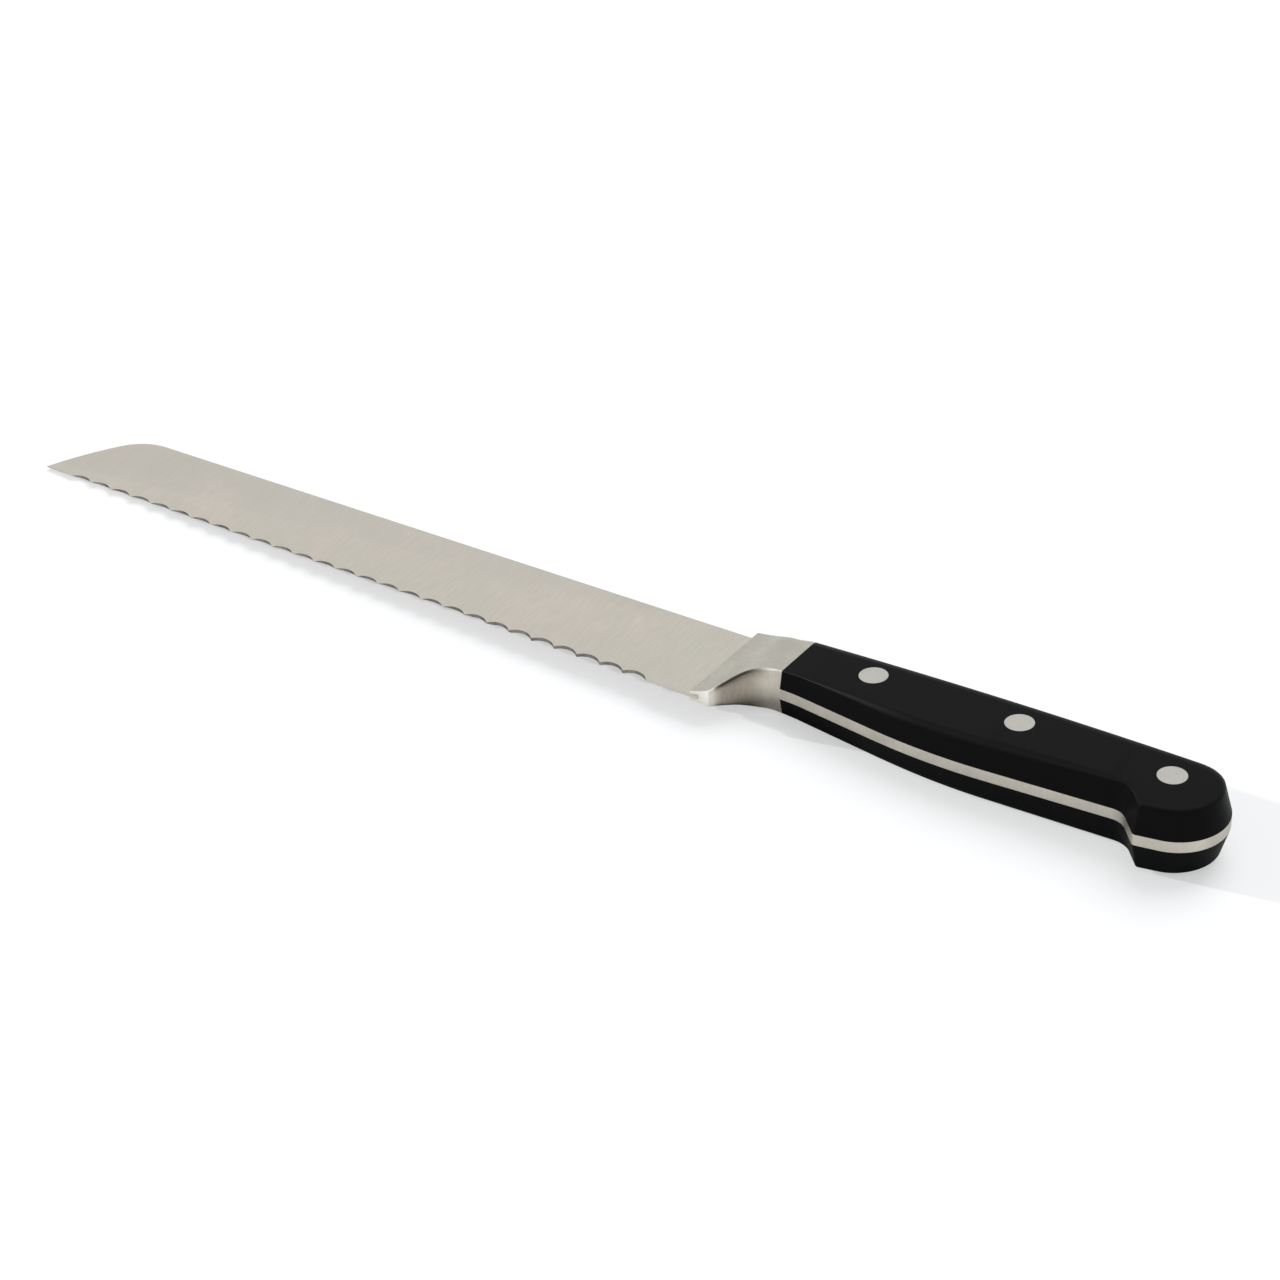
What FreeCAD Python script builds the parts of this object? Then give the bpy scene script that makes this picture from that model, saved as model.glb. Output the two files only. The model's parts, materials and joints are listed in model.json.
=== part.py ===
"""Serrated bread knife lying on its right side, in millimetres.

Every piece is drawn upright in the knife's own frame: X runs from the point to the butt, with zero
at the joint between bolster and handle scales; Y runs from the cutting edge to the spine, with zero
on the line of the tooth tips; Z is the thickness, with zero on the middle plane of blade and tang.
One common placement then lays the finished knife down on its point and its right scale.
"""
import FreeCAD, Part
import math
import os
import Sketcher

SIZES = {
    # blade
    "blade_length": 200.0,  # point to heel chin
    "point_rise": 0.3,  # the point lies this far above the line of the tooth tips
    "spine_rear": 26.6,  # spine above the tooth line, at the bolster
    "spine_fore": 22.75,  # the same, at the first tooth
    "spine_half": 1.05,  # half thickness at the spine, at the bolster
    "spine_half_fore": 0.9,  # the same, at the point
    "edge_half": 0.42,  # half thickness at the cutting edge
    "nose_angle": 66.8,  # the front edge leaves the point at this angle, in degrees
    "nose_radius": 90.0,
    "nose_corner_radius": 13.3,
    # serration, ground from the right side
    "tooth_pitch": 6.48,
    "tooth_count": 27,
    "tooth_depth": 1.4,
    "tooth_flat": 0.3,
    "first_tooth": 8.4,  # from the point to the first scallop
    "bevel_height": 1.5,
    "bevel_land": 0.05,
    "bevel_run": 127.0,  # length of the full bevel, from the point
    "bevel_fade": 24.0,  # length over which the bevel runs out
    # bolster
    "bolster_length": 17.2,
    "chin_length": 12.6,  # heel chin to handle scales
    "chin_rise": 0.8,
    "shoulder_step": 0.08,  # the bolster stands this far above the blade's thickest place
    "swoop_radius": 10.7,
    "ramp_knee": 11.0,  # handle joint to the point where the ramp turns from hollow to round
    "ramp_knee_half": 3.15,
    "ramp_hollow_radius": 14.5,
    "ramp_crest": 5.4,
    "ramp_crest_half": 5.4,
    "ramp_round_radius": 13.0,
    # handle outline
    "tang_half": 1.4,
    "grip_front": 11.3,  # lower edge above the tooth line, at the scales' front
    "grip_shoulder": 4.2,
    "grip_shoulder_rise": 11.17,
    "grip_low": 40.5,
    "grip_low_rise": 6.6,
    "hook_root": 88.4,
    "hook_root_rise": 10.2,
    "hook_beak": 94.2,
    "hook_beak_rise": 3.8,
    "grip_shoulder_radius": 40.0,
    "grip_low_radius": 145.0,
    "hook_root_radius": 5.0,
    "hook_beak_radius": 1.2,
    "handle_spine": 29.3,
    "pommel_radius": 12.3,
    "handle_length": 110.0,
    # handle thickness
    "front_half": 5.85,
    "swell_half": 8.3,
    "swell_place": 93.0,
    "wall_draft": 1.6,  # how far the walls lean in up to draft_half
    "draft_half": 9.0,
    "back_round": 4.0,
    # rivets
    "rivet_count": 3,
    "rivet_first": 19.3,
    "rivet_spacing": 38.1,
    "rivet_rise": 20.6,  # of the first rivet above the tooth line
    "rivet_fall": 0.7,  # how much lower each next rivet sits
    "rivet_head_radius": 3.4,
    "rivet_head_depth": 2.4,
    "rivet_sleeve_radius": 2.2,
    "rivet_pin_radius": 1.3,
    "rivet_pin_gap": 0.6,
    # how far cuts and hidden joins run past what they meet
    "cut_margin": 3.0,
    "blade_tuck": 2.0,
    "tang_tuck": 2.0,
}


def make_sheet(doc):
    """The spreadsheet of driving dimensions, one alias for each."""
    sheet = doc.addObject("Spreadsheet::Sheet", "Sizes")
    for row, (alias, value) in enumerate(SIZES.items(), start=1):
        sheet.set(f"A{row}", alias)
        sheet.set(f"B{row}", str(value))
        sheet.setAlias(f"B{row}", alias)
    doc.recompute()
    return sheet


# ---------------------------------------------------------------- plane geometry of the outlines


def vec(x, y):
    """A point or direction of a sketch."""
    return FreeCAD.Vector(x, y, 0.0)


def unit(start, end):
    """Unit direction from start to end."""
    return (end - start).normalize()


def left_of(direction):
    """The direction turned left by a quarter turn."""
    return vec(-direction.y, direction.x)


def angle_of(direction):
    """Polar angle of a direction, in radians."""
    return math.atan2(direction.y, direction.x)


def crossing(point_a, dir_a, point_b, dir_b):
    """Where two lines, each a point and a direction, cross."""
    gap = point_b - point_a
    run = (gap.x * dir_b.y - gap.y * dir_b.x) / (dir_a.x * dir_b.y - dir_a.y * dir_b.x)
    return point_a + dir_a * run


def tangent_foot(point, centre, radius, side):
    """Where the tangent from a point touches a circle; side is 1 or -1."""
    reach = centre - point
    swing = math.asin(radius / reach.Length)
    heading = angle_of(reach) + side * swing
    run = math.sqrt(reach.Length**2 - radius**2)
    return point + vec(math.cos(heading), math.sin(heading)) * run


def arc(centre, radius, start, turn):
    """An arc as the sketches take it; turn is positive anticlockwise, both angles in radians."""
    return ("arc", centre, radius, start, turn)


def line(start, end):
    """A straight edge as the sketches take it."""
    return ("line", start, end)


def rounded_chain(points, radii):
    """Edges along the points, with each inner corner rounded to its radius."""
    edges = []
    here = points[0]
    for before, corner, after, radius in zip(points, points[1:], points[2:], radii):
        into = unit(before, corner)
        out = unit(corner, after)
        turn = math.atan2(into.x * out.y - into.y * out.x, into.dot(out))
        setback = radius * math.tan(abs(turn) / 2)
        start = corner - into * setback
        side = left_of(into) * math.copysign(1.0, turn)
        centre = start + side * radius
        edges.append(line(here, start))
        edges.append(arc(centre, radius, angle_of(start - centre), turn))
        here = corner + out * setback
    edges.append(line(here, points[-1]))
    return edges


def offset_chain(points, radii, inset):
    """The chain moved to its left by inset: the solid is on the left, so inner bends widen."""
    lines = [(a + left_of(unit(a, b)) * inset, unit(a, b)) for a, b in zip(points, points[1:])]
    corners = [crossing(*one, *two) for one, two in zip(lines, lines[1:])]
    last = points[-1] + left_of(unit(points[-2], points[-1])) * inset
    moved = [lines[0][0]] + corners + [last]
    new_radii = []
    for (_, into), (_, out), radius in zip(lines, lines[1:], radii):
        bends_left = into.x * out.y - into.y * out.x > 0
        new_radii.append(max(radius - inset, radius / 4) if bends_left else radius + inset)
    return moved, new_radii


# ---------------------------------------------------------------- sketches and features


def sketch_on(body, name, role, offset=None):
    """A sketch on one of the body's own origin planes, lifted along its normal by an expression."""
    plane = next(item for item in body.Origin.OriginFeatures if item.Role == role)
    sketch = body.newObject("Sketcher::SketchObject", name)
    sketch.AttachmentSupport = [(plane, "")]
    sketch.MapMode = "FlatFace"
    if offset:
        sketch.setExpression("AttachmentOffset.Base.z", offset)
    return sketch


def draw(sketch, edges):
    """Add a closed run of edges to a sketch and tie each end to the next."""
    ends = []
    for edge in edges:
        if edge[0] == "line":
            index = sketch.addGeometry(Part.LineSegment(edge[1], edge[2]))
            ends.append((index, 1, 2))
            continue
        _, centre, radius, start, turn = edge
        low, high = min(start, start + turn), max(start, start + turn)
        circle = Part.Circle(centre, FreeCAD.Vector(0, 0, 1), radius)
        index = sketch.addGeometry(Part.ArcOfCircle(circle, low, high))
        ends.append((index, 1, 2) if turn > 0 else (index, 2, 1))
    for (one, _, tail), (two, head, _) in zip(ends, ends[1:] + ends[:1]):
        sketch.addConstraint(Sketcher.Constraint("Coincident", one, tail, two, head))


def draw_polygon(sketch, corners):
    """A closed polygon through the corners."""
    draw(sketch, [line(a, b) for a, b in zip(corners, corners[1:] + corners[:1])])


def draw_circle(sketch, centre_x, centre_y, radius):
    """A circle whose place and radius are expressions of the sheet."""
    circle = Part.Circle(vec(0, 0), FreeCAD.Vector(0, 0, 1), 1.0)
    index = sketch.addGeometry(circle)
    for kind, rule in (("DistanceX", centre_x), ("DistanceY", centre_y)):
        number = sketch.addConstraint(Sketcher.Constraint(kind, -1, 1, index, 3, 1.0))
        sketch.setExpression(f"Constraints[{number}]", rule)
    number = sketch.addConstraint(Sketcher.Constraint("Radius", index, 1.0))
    sketch.setExpression(f"Constraints[{number}]", radius)


def add_pad(body, name, sketch, length, reverse=False, midplane=False):
    """Pad a sketch by an expression."""
    pad = body.newObject("PartDesign::Pad", name)
    pad.Profile = sketch
    pad.Refine = False
    pad.setExpression("Length", length)
    pad.Reversed = reverse
    pad.SideType = "Symmetric" if midplane else "One side"
    return pad


def add_pocket(body, name, sketch, length, reverse=False, midplane=False):
    """Cut a sketch into the body by an expression, and make sure that it did cut."""
    DOC.recompute()
    before = body.Shape.Volume
    pocket = body.newObject("PartDesign::Pocket", name)
    pocket.Profile = sketch
    pocket.Refine = False
    pocket.setExpression("Length", length)
    pocket.Reversed = reverse
    pocket.SideType = "Symmetric" if midplane else "One side"
    DOC.recompute()
    if body.Shape.Volume >= before:
        raise RuntimeError(f"{body.Label}: {name} cuts nothing")
    return pocket


def add_loft(body, name, kind, sketches):
    """A ruled loft through the sketches; kind is Additive or Subtractive."""
    loft = body.newObject(f"PartDesign::{kind}Loft", name)
    loft.Profile = sketches[0]
    loft.Sections = sketches[1:]
    loft.Ruled = True
    loft.Refine = False
    return loft


def new_body(label):
    """An empty body with its label."""
    body = DOC.addObject("PartDesign::Body", label)
    body.Label = label
    return body


# ---------------------------------------------------------------- outlines of the knife


def bow_radius():
    """Radius of the long arc that each side face of the handle follows."""
    rise = SHEET.swell_half - SHEET.front_half
    return (SHEET.swell_place**2 + rise**2) / (2 * rise)


def bow_half(place):
    """Half thickness of the handle at a place along it."""
    radius = bow_radius()
    drop = radius - math.sqrt(radius**2 - (place - SHEET.swell_place) ** 2)
    return SHEET.swell_half - drop


def pommel_centre():
    """Centre of the round butt, which the spine and the end of the handle both touch."""
    radius = SHEET.pommel_radius
    return vec(SHEET.handle_length - radius, SHEET.handle_spine - radius)


def handle_outline(front, inset):
    """Outline of tang and scales from the side, drawn in by inset all round but at the spine."""
    centre = pommel_centre()
    beak = vec(SHEET.hook_beak, SHEET.hook_beak_rise)
    chain = [
        vec(0.0, SHEET.grip_front),
        vec(SHEET.grip_shoulder, SHEET.grip_shoulder_rise),
        vec(SHEET.grip_low, SHEET.grip_low_rise),
        vec(SHEET.hook_root, SHEET.hook_root_rise),
        beak,
        tangent_foot(beak, centre, SHEET.pommel_radius, -1),
    ]
    radii = [
        SHEET.grip_shoulder_radius,
        SHEET.grip_low_radius,
        SHEET.hook_root_radius,
        SHEET.hook_beak_radius,
    ]
    points, new_radii = offset_chain(chain, radii, inset)
    points[0] = crossing(points[0], unit(points[0], points[1]), vec(front, 0.0), vec(0.0, 1.0))
    round_radius = SHEET.pommel_radius - inset / 2
    round_centre = vec(centre.x - inset / 2, SHEET.handle_spine - round_radius)
    foot = tangent_foot(points[-2], round_centre, round_radius, -1)
    points[-1] = foot
    start = angle_of(foot - round_centre)
    top = vec(round_centre.x, SHEET.handle_spine)
    back = vec(front, SHEET.handle_spine)
    edges = rounded_chain(points, new_radii)
    edges.append(arc(round_centre, round_radius, start, math.pi / 2 - start))
    edges.append(line(top, back))
    edges.append(line(back, points[0]))
    return edges


def bolster_outline(inset):
    """Outline of the bolster: heel, chin, the hollow that sweeps up to the grip, and the spine."""
    centre = vec(0.0, SHEET.grip_front - SHEET.swoop_radius)
    heel = vec(-SHEET.bolster_length, 0.0)
    chin = vec(-SHEET.chin_length, SHEET.chin_rise)
    foot = tangent_foot(chin, centre, SHEET.swoop_radius, 1)
    points, _ = offset_chain([heel, chin, foot], [0.0], inset)
    points[0] = crossing(points[0], unit(points[0], points[1]), heel, vec(0.0, 1.0))
    radius = SHEET.swoop_radius + inset
    start = angle_of(points[-1] - centre)
    top = centre + vec(0.0, radius)
    back = vec(0.0, SHEET.handle_spine)
    corner = vec(-SHEET.bolster_length, SHEET.handle_spine)
    edges = [line(points[0], points[1]), line(points[1], points[2])]
    edges.append(arc(centre, radius, start, math.pi / 2 - start))
    edges.extend([line(top, back), line(back, corner), line(corner, points[0])])
    return edges


def blade_point():
    """The blade's point."""
    return vec(-SHEET.chin_length - SHEET.blade_length, SHEET.point_rise)


def spine_direction():
    """Direction of the blade's spine, which falls a little towards the point."""
    run = SHEET.blade_length + SHEET.chin_length - SHEET.bolster_length
    return vec(run, SHEET.spine_rear - SHEET.spine_fore).normalize()


def blade_outline():
    """Outline of the blade: cutting edge, end under the bolster, spine, rounded nose and point."""
    point = blade_point()
    edge_start = vec(point.x + SHEET.first_tooth, 0.0)
    rear = -SHEET.bolster_length + SHEET.blade_tuck
    rear_low = vec(rear, 0.0)
    along = spine_direction()
    rear_high = vec(-SHEET.bolster_length, SHEET.spine_rear) + along * SHEET.blade_tuck
    nose = math.radians(SHEET.nose_angle)
    big, small = SHEET.nose_radius, SHEET.nose_corner_radius
    big_centre = point + vec(math.sin(nose), -math.cos(nose)) * big
    base = rear_high - left_of(along) * small
    gap = base - big_centre
    reach = gap.dot(along)
    run = -reach - math.sqrt(reach**2 - gap.Length**2 + (big - small) ** 2)
    small_centre = base + along * run
    join = angle_of(small_centre - big_centre)
    first = angle_of(point - big_centre)
    spine_foot = small_centre + left_of(along) * small
    top = angle_of(left_of(along))
    return [
        line(point, edge_start),
        line(edge_start, rear_low),
        line(rear_low, rear_high),
        line(rear_high, spine_foot),
        arc(small_centre, small, top, join - top),
        arc(big_centre, big, join, first - join),
    ]


# ---------------------------------------------------------------- the forging


def flank_placement(side):
    """The plane of one ground flank: through the heel's edge, the heel's spine and the fore spine."""
    rear = -SHEET.bolster_length
    rise = (SHEET.spine_half - SHEET.edge_half) / SHEET.spine_rear
    fore_half = SHEET.edge_half + rise * SHEET.spine_fore
    taper = (SHEET.spine_half_fore - fore_half) / (blade_point().x - rear)
    normal = FreeCAD.Vector(-taper, -rise, side).normalize()
    base = FreeCAD.Vector(rear, 0.0, side * SHEET.edge_half)
    return FreeCAD.Placement(base, FreeCAD.Rotation(FreeCAD.Vector(0, 0, side), normal))


def add_blade(body):
    """The flat-ground blade: its outline padded, then each flank ground to a flat taper."""
    outline = sketch_on(body, "BladeOutline", "XY_Plane")
    draw(outline, blade_outline())
    add_pad(body, "BladeBlank", outline, "4 * Sizes.spine_half", midplane=True)
    length, margin = SHEET.blade_length, SHEET.cut_margin
    for name, side in (("Left", 1), ("Right", -1)):
        flank = sketch_on(body, f"{name}Flank", "XY_Plane")
        flank.AttachmentOffset = flank_placement(side)
        low, high = -margin, SHEET.handle_spine + margin
        draw_polygon(flank, [vec(-length, low), vec(margin, low), vec(margin, high), vec(-length, high)])
        add_pocket(body, f"{name}Grind", flank, "3 * Sizes.spine_half", reverse=side > 0)


def add_serration(body):
    """The scallops of the cutting edge, repeated along it."""
    chord = SHEET.tooth_pitch - SHEET.tooth_flat
    depth = SHEET.tooth_depth
    radius = (chord**2 / 4 + depth**2) / (2 * depth)
    start = blade_point().x + SHEET.first_tooth + SHEET.tooth_pitch / 2
    scallop = sketch_on(body, "Scallop", "XY_Plane")
    circle = Part.Circle(vec(start, depth - radius), FreeCAD.Vector(0, 0, 1), radius)
    scallop.addGeometry(circle)
    pocket = add_pocket(body, "ScallopCut", scallop, "4 * Sizes.spine_half", midplane=True)
    teeth = body.newObject("PartDesign::LinearPattern", "Teeth")
    teeth.Originals = [pocket]
    teeth.Refine = False
    axis = next(item for item in body.Origin.OriginFeatures if item.Role == "X_Axis")
    teeth.Direction = (axis, [""])
    teeth.setExpression("Occurrences", "Sizes.tooth_count")
    teeth.setExpression("Length", "(Sizes.tooth_count - 1) * Sizes.tooth_pitch")
    body.Tip = teeth


def bevel_section(body, name, place, shift):
    """The corner that the bevel takes off the right side, as a triangle across the blade."""
    land = SHEET.edge_half - SHEET.bevel_land
    slope = (land + SHEET.edge_half) / SHEET.bevel_height
    reach = 2 * SHEET.bevel_height
    deep = land - slope * reach
    high = land + slope * reach
    sketch = sketch_on(body, name, "YZ_Plane", place)
    corners = [vec(-reach, high), vec(-reach, deep), vec(reach, deep)]
    draw_polygon(sketch, [corner - vec(shift, 0.0) for corner in corners])
    return sketch


def add_bevel(body):
    """The cutting bevel of the right side, full along the front teeth and fading to the heel."""
    point = "-Sizes.chin_length - Sizes.blade_length"
    fade = SHEET.bevel_height
    sections = [
        bevel_section(body, "BevelFore", f"{point} - Sizes.cut_margin", 0.0),
        bevel_section(body, "BevelMid", f"{point} + Sizes.bevel_run", 0.0),
        bevel_section(body, "BevelRear", f"{point} + Sizes.bevel_run + Sizes.bevel_fade", fade),
    ]
    add_loft(body, "Bevel", "Subtractive", sections)


def ramp_edges(side):
    """The region above the bolster's side ramp, in X and Z; side is 1 above, -1 below."""
    start = vec(-SHEET.bolster_length, SHEET.spine_half + SHEET.shoulder_step)
    knee = vec(-SHEET.ramp_knee, SHEET.ramp_knee_half)
    crest = vec(-SHEET.ramp_crest, SHEET.ramp_crest_half)
    joint = vec(0.0, SHEET.front_half)
    clear = SHEET.draft_half + SHEET.cut_margin
    over = vec(0.0, clear)
    out = vec(-SHEET.bolster_length - SHEET.cut_margin, clear)
    low = vec(out.x, start.y)
    edges = [
        chord_arc(start, knee, SHEET.ramp_hollow_radius, 1),
        chord_arc(knee, crest, SHEET.ramp_round_radius, -1),
        line(crest, joint),
        line(joint, over),
        line(over, out),
        line(out, low),
        line(low, start),
    ]
    return edges if side > 0 else [mirrored(edge) for edge in edges]


def chord_arc(start, end, radius, bend):
    """The short arc of a given radius between two points; bend is 1 anticlockwise."""
    half = (end - start).Length / 2
    middle = (start + end) * 0.5
    centre = middle + left_of(unit(start, end)) * bend * math.sqrt(radius**2 - half**2)
    return arc(centre, radius, angle_of(start - centre), bend * 2 * math.asin(half / radius))


def mirrored(edge):
    """The same edge on the other side of the middle plane."""
    if edge[0] == "line":
        return line(vec(edge[1].x, -edge[1].y), vec(edge[2].x, -edge[2].y))
    _, centre, radius, start, turn = edge
    return arc(vec(centre.x, -centre.y), radius, -start, -turn)


def add_bolster(body):
    """The bolster: drafted walls, a ramp on each side and a rounded back."""
    levels = (("-Sizes.draft_half", SHEET.wall_draft), ("-Sizes.tang_half", 0.0),
              ("Sizes.tang_half", 0.0), ("Sizes.draft_half", SHEET.wall_draft))
    sections = []
    for number, (place, inset) in enumerate(levels):
        sketch = sketch_on(body, f"BolsterLevel{number}", "XY_Plane", place)
        draw(sketch, bolster_outline(inset))
        sections.append(sketch)
    add_loft(body, "BolsterBlock", "Additive", sections)
    ramp = sketch_on(body, "Ramps", "XZ_Plane")
    draw(ramp, ramp_edges(1))
    draw(ramp, ramp_edges(-1))
    add_pocket(body, "RampCut", ramp, "4 * Sizes.handle_spine", midplane=True)
    back = sketch_on(body, "BolsterBack", "YZ_Plane")
    for side in (1, -1):
        edges = back_round_edges(SHEET.front_half)
        draw(back, edges if side > 0 else [mirrored(edge) for edge in edges])
    add_pocket(body, "BolsterBackRound", back, "Sizes.bolster_length + Sizes.cut_margin")


def back_round_edges(half):
    """The corner outside the rounded back of the handle, in Y and Z, at a half thickness."""
    spine, radius = SHEET.handle_spine, SHEET.back_round
    clear = SHEET.draft_half + SHEET.cut_margin
    face = vec(spine - radius, half)
    wall = vec(spine, half - radius)
    out = spine + SHEET.cut_margin
    return [
        arc(vec(spine - radius, half - radius), radius, math.pi / 2, -math.pi / 2),
        line(wall, vec(out, wall.y)),
        line(vec(out, wall.y), vec(out, clear)),
        line(vec(out, clear), vec(face.x, clear)),
        line(vec(face.x, clear), face),
    ]


def rivet_rules(index):
    """Expressions for the place of a rivet along and across the handle."""
    along = f"Sizes.rivet_first + {index} * Sizes.rivet_spacing"
    return along, f"Sizes.rivet_rise - {index} * Sizes.rivet_fall"


def rivet_place(index):
    """Place of a rivet along the handle."""
    return SHEET.rivet_first + index * SHEET.rivet_spacing


def draw_rivet_circles(sketch, radius):
    """One circle at each rivet."""
    for index in range(int(SHEET.rivet_count)):
        draw_circle(sketch, *rivet_rules(index), radius)


def add_tang(body):
    """The full tang, as wide as the scales, with a hole for each rivet."""
    outline = sketch_on(body, "TangOutline", "XY_Plane")
    draw(outline, handle_outline(-SHEET.tang_tuck, 0.0))
    add_pad(body, "Tang", outline, "2 * Sizes.tang_half", midplane=True)
    holes = sketch_on(body, "TangHoles", "XY_Plane")
    draw_rivet_circles(holes, "Sizes.rivet_sleeve_radius")
    add_pocket(body, "TangHoleCut", holes, "4 * Sizes.tang_half", midplane=True)


def make_forging():
    """Blade, bolster and full tang, forged in one piece."""
    body = new_body("blade_forging")
    add_blade(body)
    add_serration(body)
    add_bevel(body)
    add_bolster(body)
    add_tang(body)
    return body


# ---------------------------------------------------------------- scales and rivets


def add_side_sweep(body, side):
    """Cut the bowed side face and the rounded back, by sweeping their outside along the bow."""
    overrun = SHEET.cut_margin
    radius = bow_radius()
    centre = vec(SHEET.swell_place, SHEET.swell_half - radius)
    ends = (-overrun, SHEET.handle_length + overrun)
    angles = [math.acos((place - centre.x) / radius) for place in ends]
    path = sketch_on(body, "SidePath", "XZ_Plane")
    bow = arc(centre, radius, angles[0], angles[1] - angles[0])
    _, centre, radius, start, turn = bow if side > 0 else mirrored(bow)
    circle = Part.Circle(centre, FreeCAD.Vector(0, 0, 1), radius)
    path.addGeometry(Part.ArcOfCircle(circle, min(start, start + turn), max(start, start + turn)))
    profile = sketch_on(body, "SideProfile", "YZ_Plane", "-Sizes.cut_margin")
    edges = side_profile_edges(bow_half(-overrun))
    draw(profile, edges if side > 0 else [mirrored(edge) for edge in edges])
    DOC.recompute()
    before = body.Shape.Volume
    sweep = body.newObject("PartDesign::SubtractivePipe", "SideSweep")
    sweep.Profile = profile
    sweep.Refine = False
    sweep.Spine = (path, ["Edge1"])
    DOC.recompute()
    if body.Shape.Volume >= before:
        raise RuntimeError(f"{body.Label}: the side sweep cuts nothing")


def side_profile_edges(half):
    """Everything outside a scale's side face and rounded back, in Y and Z."""
    spine, radius = SHEET.handle_spine, SHEET.back_round
    clear = 2 * SHEET.draft_half
    low = -SHEET.cut_margin
    face = vec(spine - radius, half)
    wall = vec(spine, half - radius)
    out = spine + SHEET.cut_margin
    return [
        line(vec(low, half), face),
        arc(vec(spine - radius, half - radius), radius, math.pi / 2, -math.pi / 2),
        line(wall, vec(out, wall.y)),
        line(vec(out, wall.y), vec(out, clear)),
        line(vec(out, clear), vec(low, clear)),
        line(vec(low, clear), vec(low, half)),
    ]


def make_scale(label, side):
    """One handle scale; side is 1 for the left, -1 for the right."""
    body = new_body(label)
    sign = "" if side > 0 else "-"
    sections = []
    levels = (("Inner", "tang_half", 0.0), ("Outer", "draft_half", SHEET.wall_draft))
    for name, place, inset in levels:
        sketch = sketch_on(body, name, "XY_Plane", f"{sign}Sizes.{place}")
        draw(sketch, handle_outline(0.0, inset))
        sections.append(sketch)
    add_loft(body, "Block", "Additive", sections)
    add_side_sweep(body, side)
    holes = sketch_on(body, "SleeveHoles", "XY_Plane")
    draw_rivet_circles(holes, "Sizes.rivet_sleeve_radius")
    add_pocket(body, "SleeveHoleCut", holes, "4 * Sizes.draft_half", midplane=True)
    for index in range(int(SHEET.rivet_count)):
        seat = sketch_on(body, f"HeadSeat{index}", "XY_Plane")
        seat.AttachmentOffset = lifted(side * head_seat(index))
        draw_circle(seat, *rivet_rules(index), "Sizes.rivet_head_radius")
        add_pocket(body, f"HeadSeatCut{index}", seat, "2 * Sizes.draft_half", reverse=side > 0)
    return body


def lifted(height):
    """A placement that only lifts a sketch along its plane's normal."""
    return FreeCAD.Placement(FreeCAD.Vector(0, 0, height), FreeCAD.Rotation())


def head_seat(index):
    """Height of the seat under a rivet's head."""
    return bow_half(rivet_place(index)) - SHEET.rivet_head_depth


def add_flush_cut(body, index, side):
    """Grind a rivet's head flush with the bowed face of its scale."""
    reach = SHEET.rivet_head_radius + SHEET.cut_margin
    left, right = rivet_place(index) - reach, rivet_place(index) + reach
    radius = bow_radius()
    centre = vec(SHEET.swell_place, SHEET.swell_half - radius)
    low_left, low_right = vec(left, bow_half(left)), vec(right, bow_half(right))
    start = angle_of(low_left - centre)
    clear = 2 * SHEET.draft_half
    edges = [
        arc(centre, radius, start, angle_of(low_right - centre) - start),
        line(low_right, vec(right, clear)),
        line(vec(right, clear), vec(left, clear)),
        line(vec(left, clear), low_left),
    ]
    sketch = sketch_on(body, "Flush", "XZ_Plane")
    draw(sketch, edges if side > 0 else [mirrored(edge) for edge in edges])
    add_pocket(body, "FlushCut", sketch, "4 * Sizes.handle_spine", midplane=True)


def rivet_disc(body, name, index, height, radius):
    """A circle at a rivet's place, lifted to a height."""
    sketch = sketch_on(body, name, "XY_Plane")
    sketch.AttachmentOffset = lifted(height)
    draw_circle(sketch, *rivet_rules(index), radius)
    return sketch


def make_rivet_pin(index):
    """The driven half of a rivet: a head in the left scale on a plain pin."""
    body = new_body(f"rivet_{index + 1}_pin")
    seat = head_seat(index)
    head = rivet_disc(body, "Head", index, seat, "Sizes.rivet_head_radius")
    add_pad(body, "HeadPad", head, "2 * Sizes.rivet_head_depth")
    pin = rivet_disc(body, "Pin", index, seat, "Sizes.rivet_pin_radius")
    add_pad(body, "PinPad", pin, f"{2 * seat} - Sizes.rivet_pin_gap", reverse=True)
    add_flush_cut(body, index, 1)
    return body


def make_rivet_sleeve(index):
    """The hollow half of a rivet: a head in the right scale on the sleeve that takes the pin."""
    body = new_body(f"rivet_{index + 1}_sleeve")
    seat = head_seat(index)
    head = rivet_disc(body, "Head", index, -seat, "Sizes.rivet_head_radius")
    add_pad(body, "HeadPad", head, "2 * Sizes.rivet_head_depth", reverse=True)
    sleeve = rivet_disc(body, "Sleeve", index, -seat, "Sizes.rivet_sleeve_radius")
    add_pad(body, "SleevePad", sleeve, f"{2 * seat}")
    bore = rivet_disc(body, "Bore", index, seat, "Sizes.rivet_pin_radius")
    add_pocket(body, "BoreCut", bore, f"{2 * seat}")
    add_flush_cut(body, index, -1)
    return body


# ---------------------------------------------------------------- laying the knife down


def leaning(slope):
    """The turn that raises the butt end by a slope."""
    return FreeCAD.Rotation(FreeCAD.Vector(0, 1, 0), -math.degrees(math.atan(slope)))


def place_all(bodies, placement):
    """Give every body the same placement."""
    for body in bodies:
        body.Placement = placement


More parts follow.
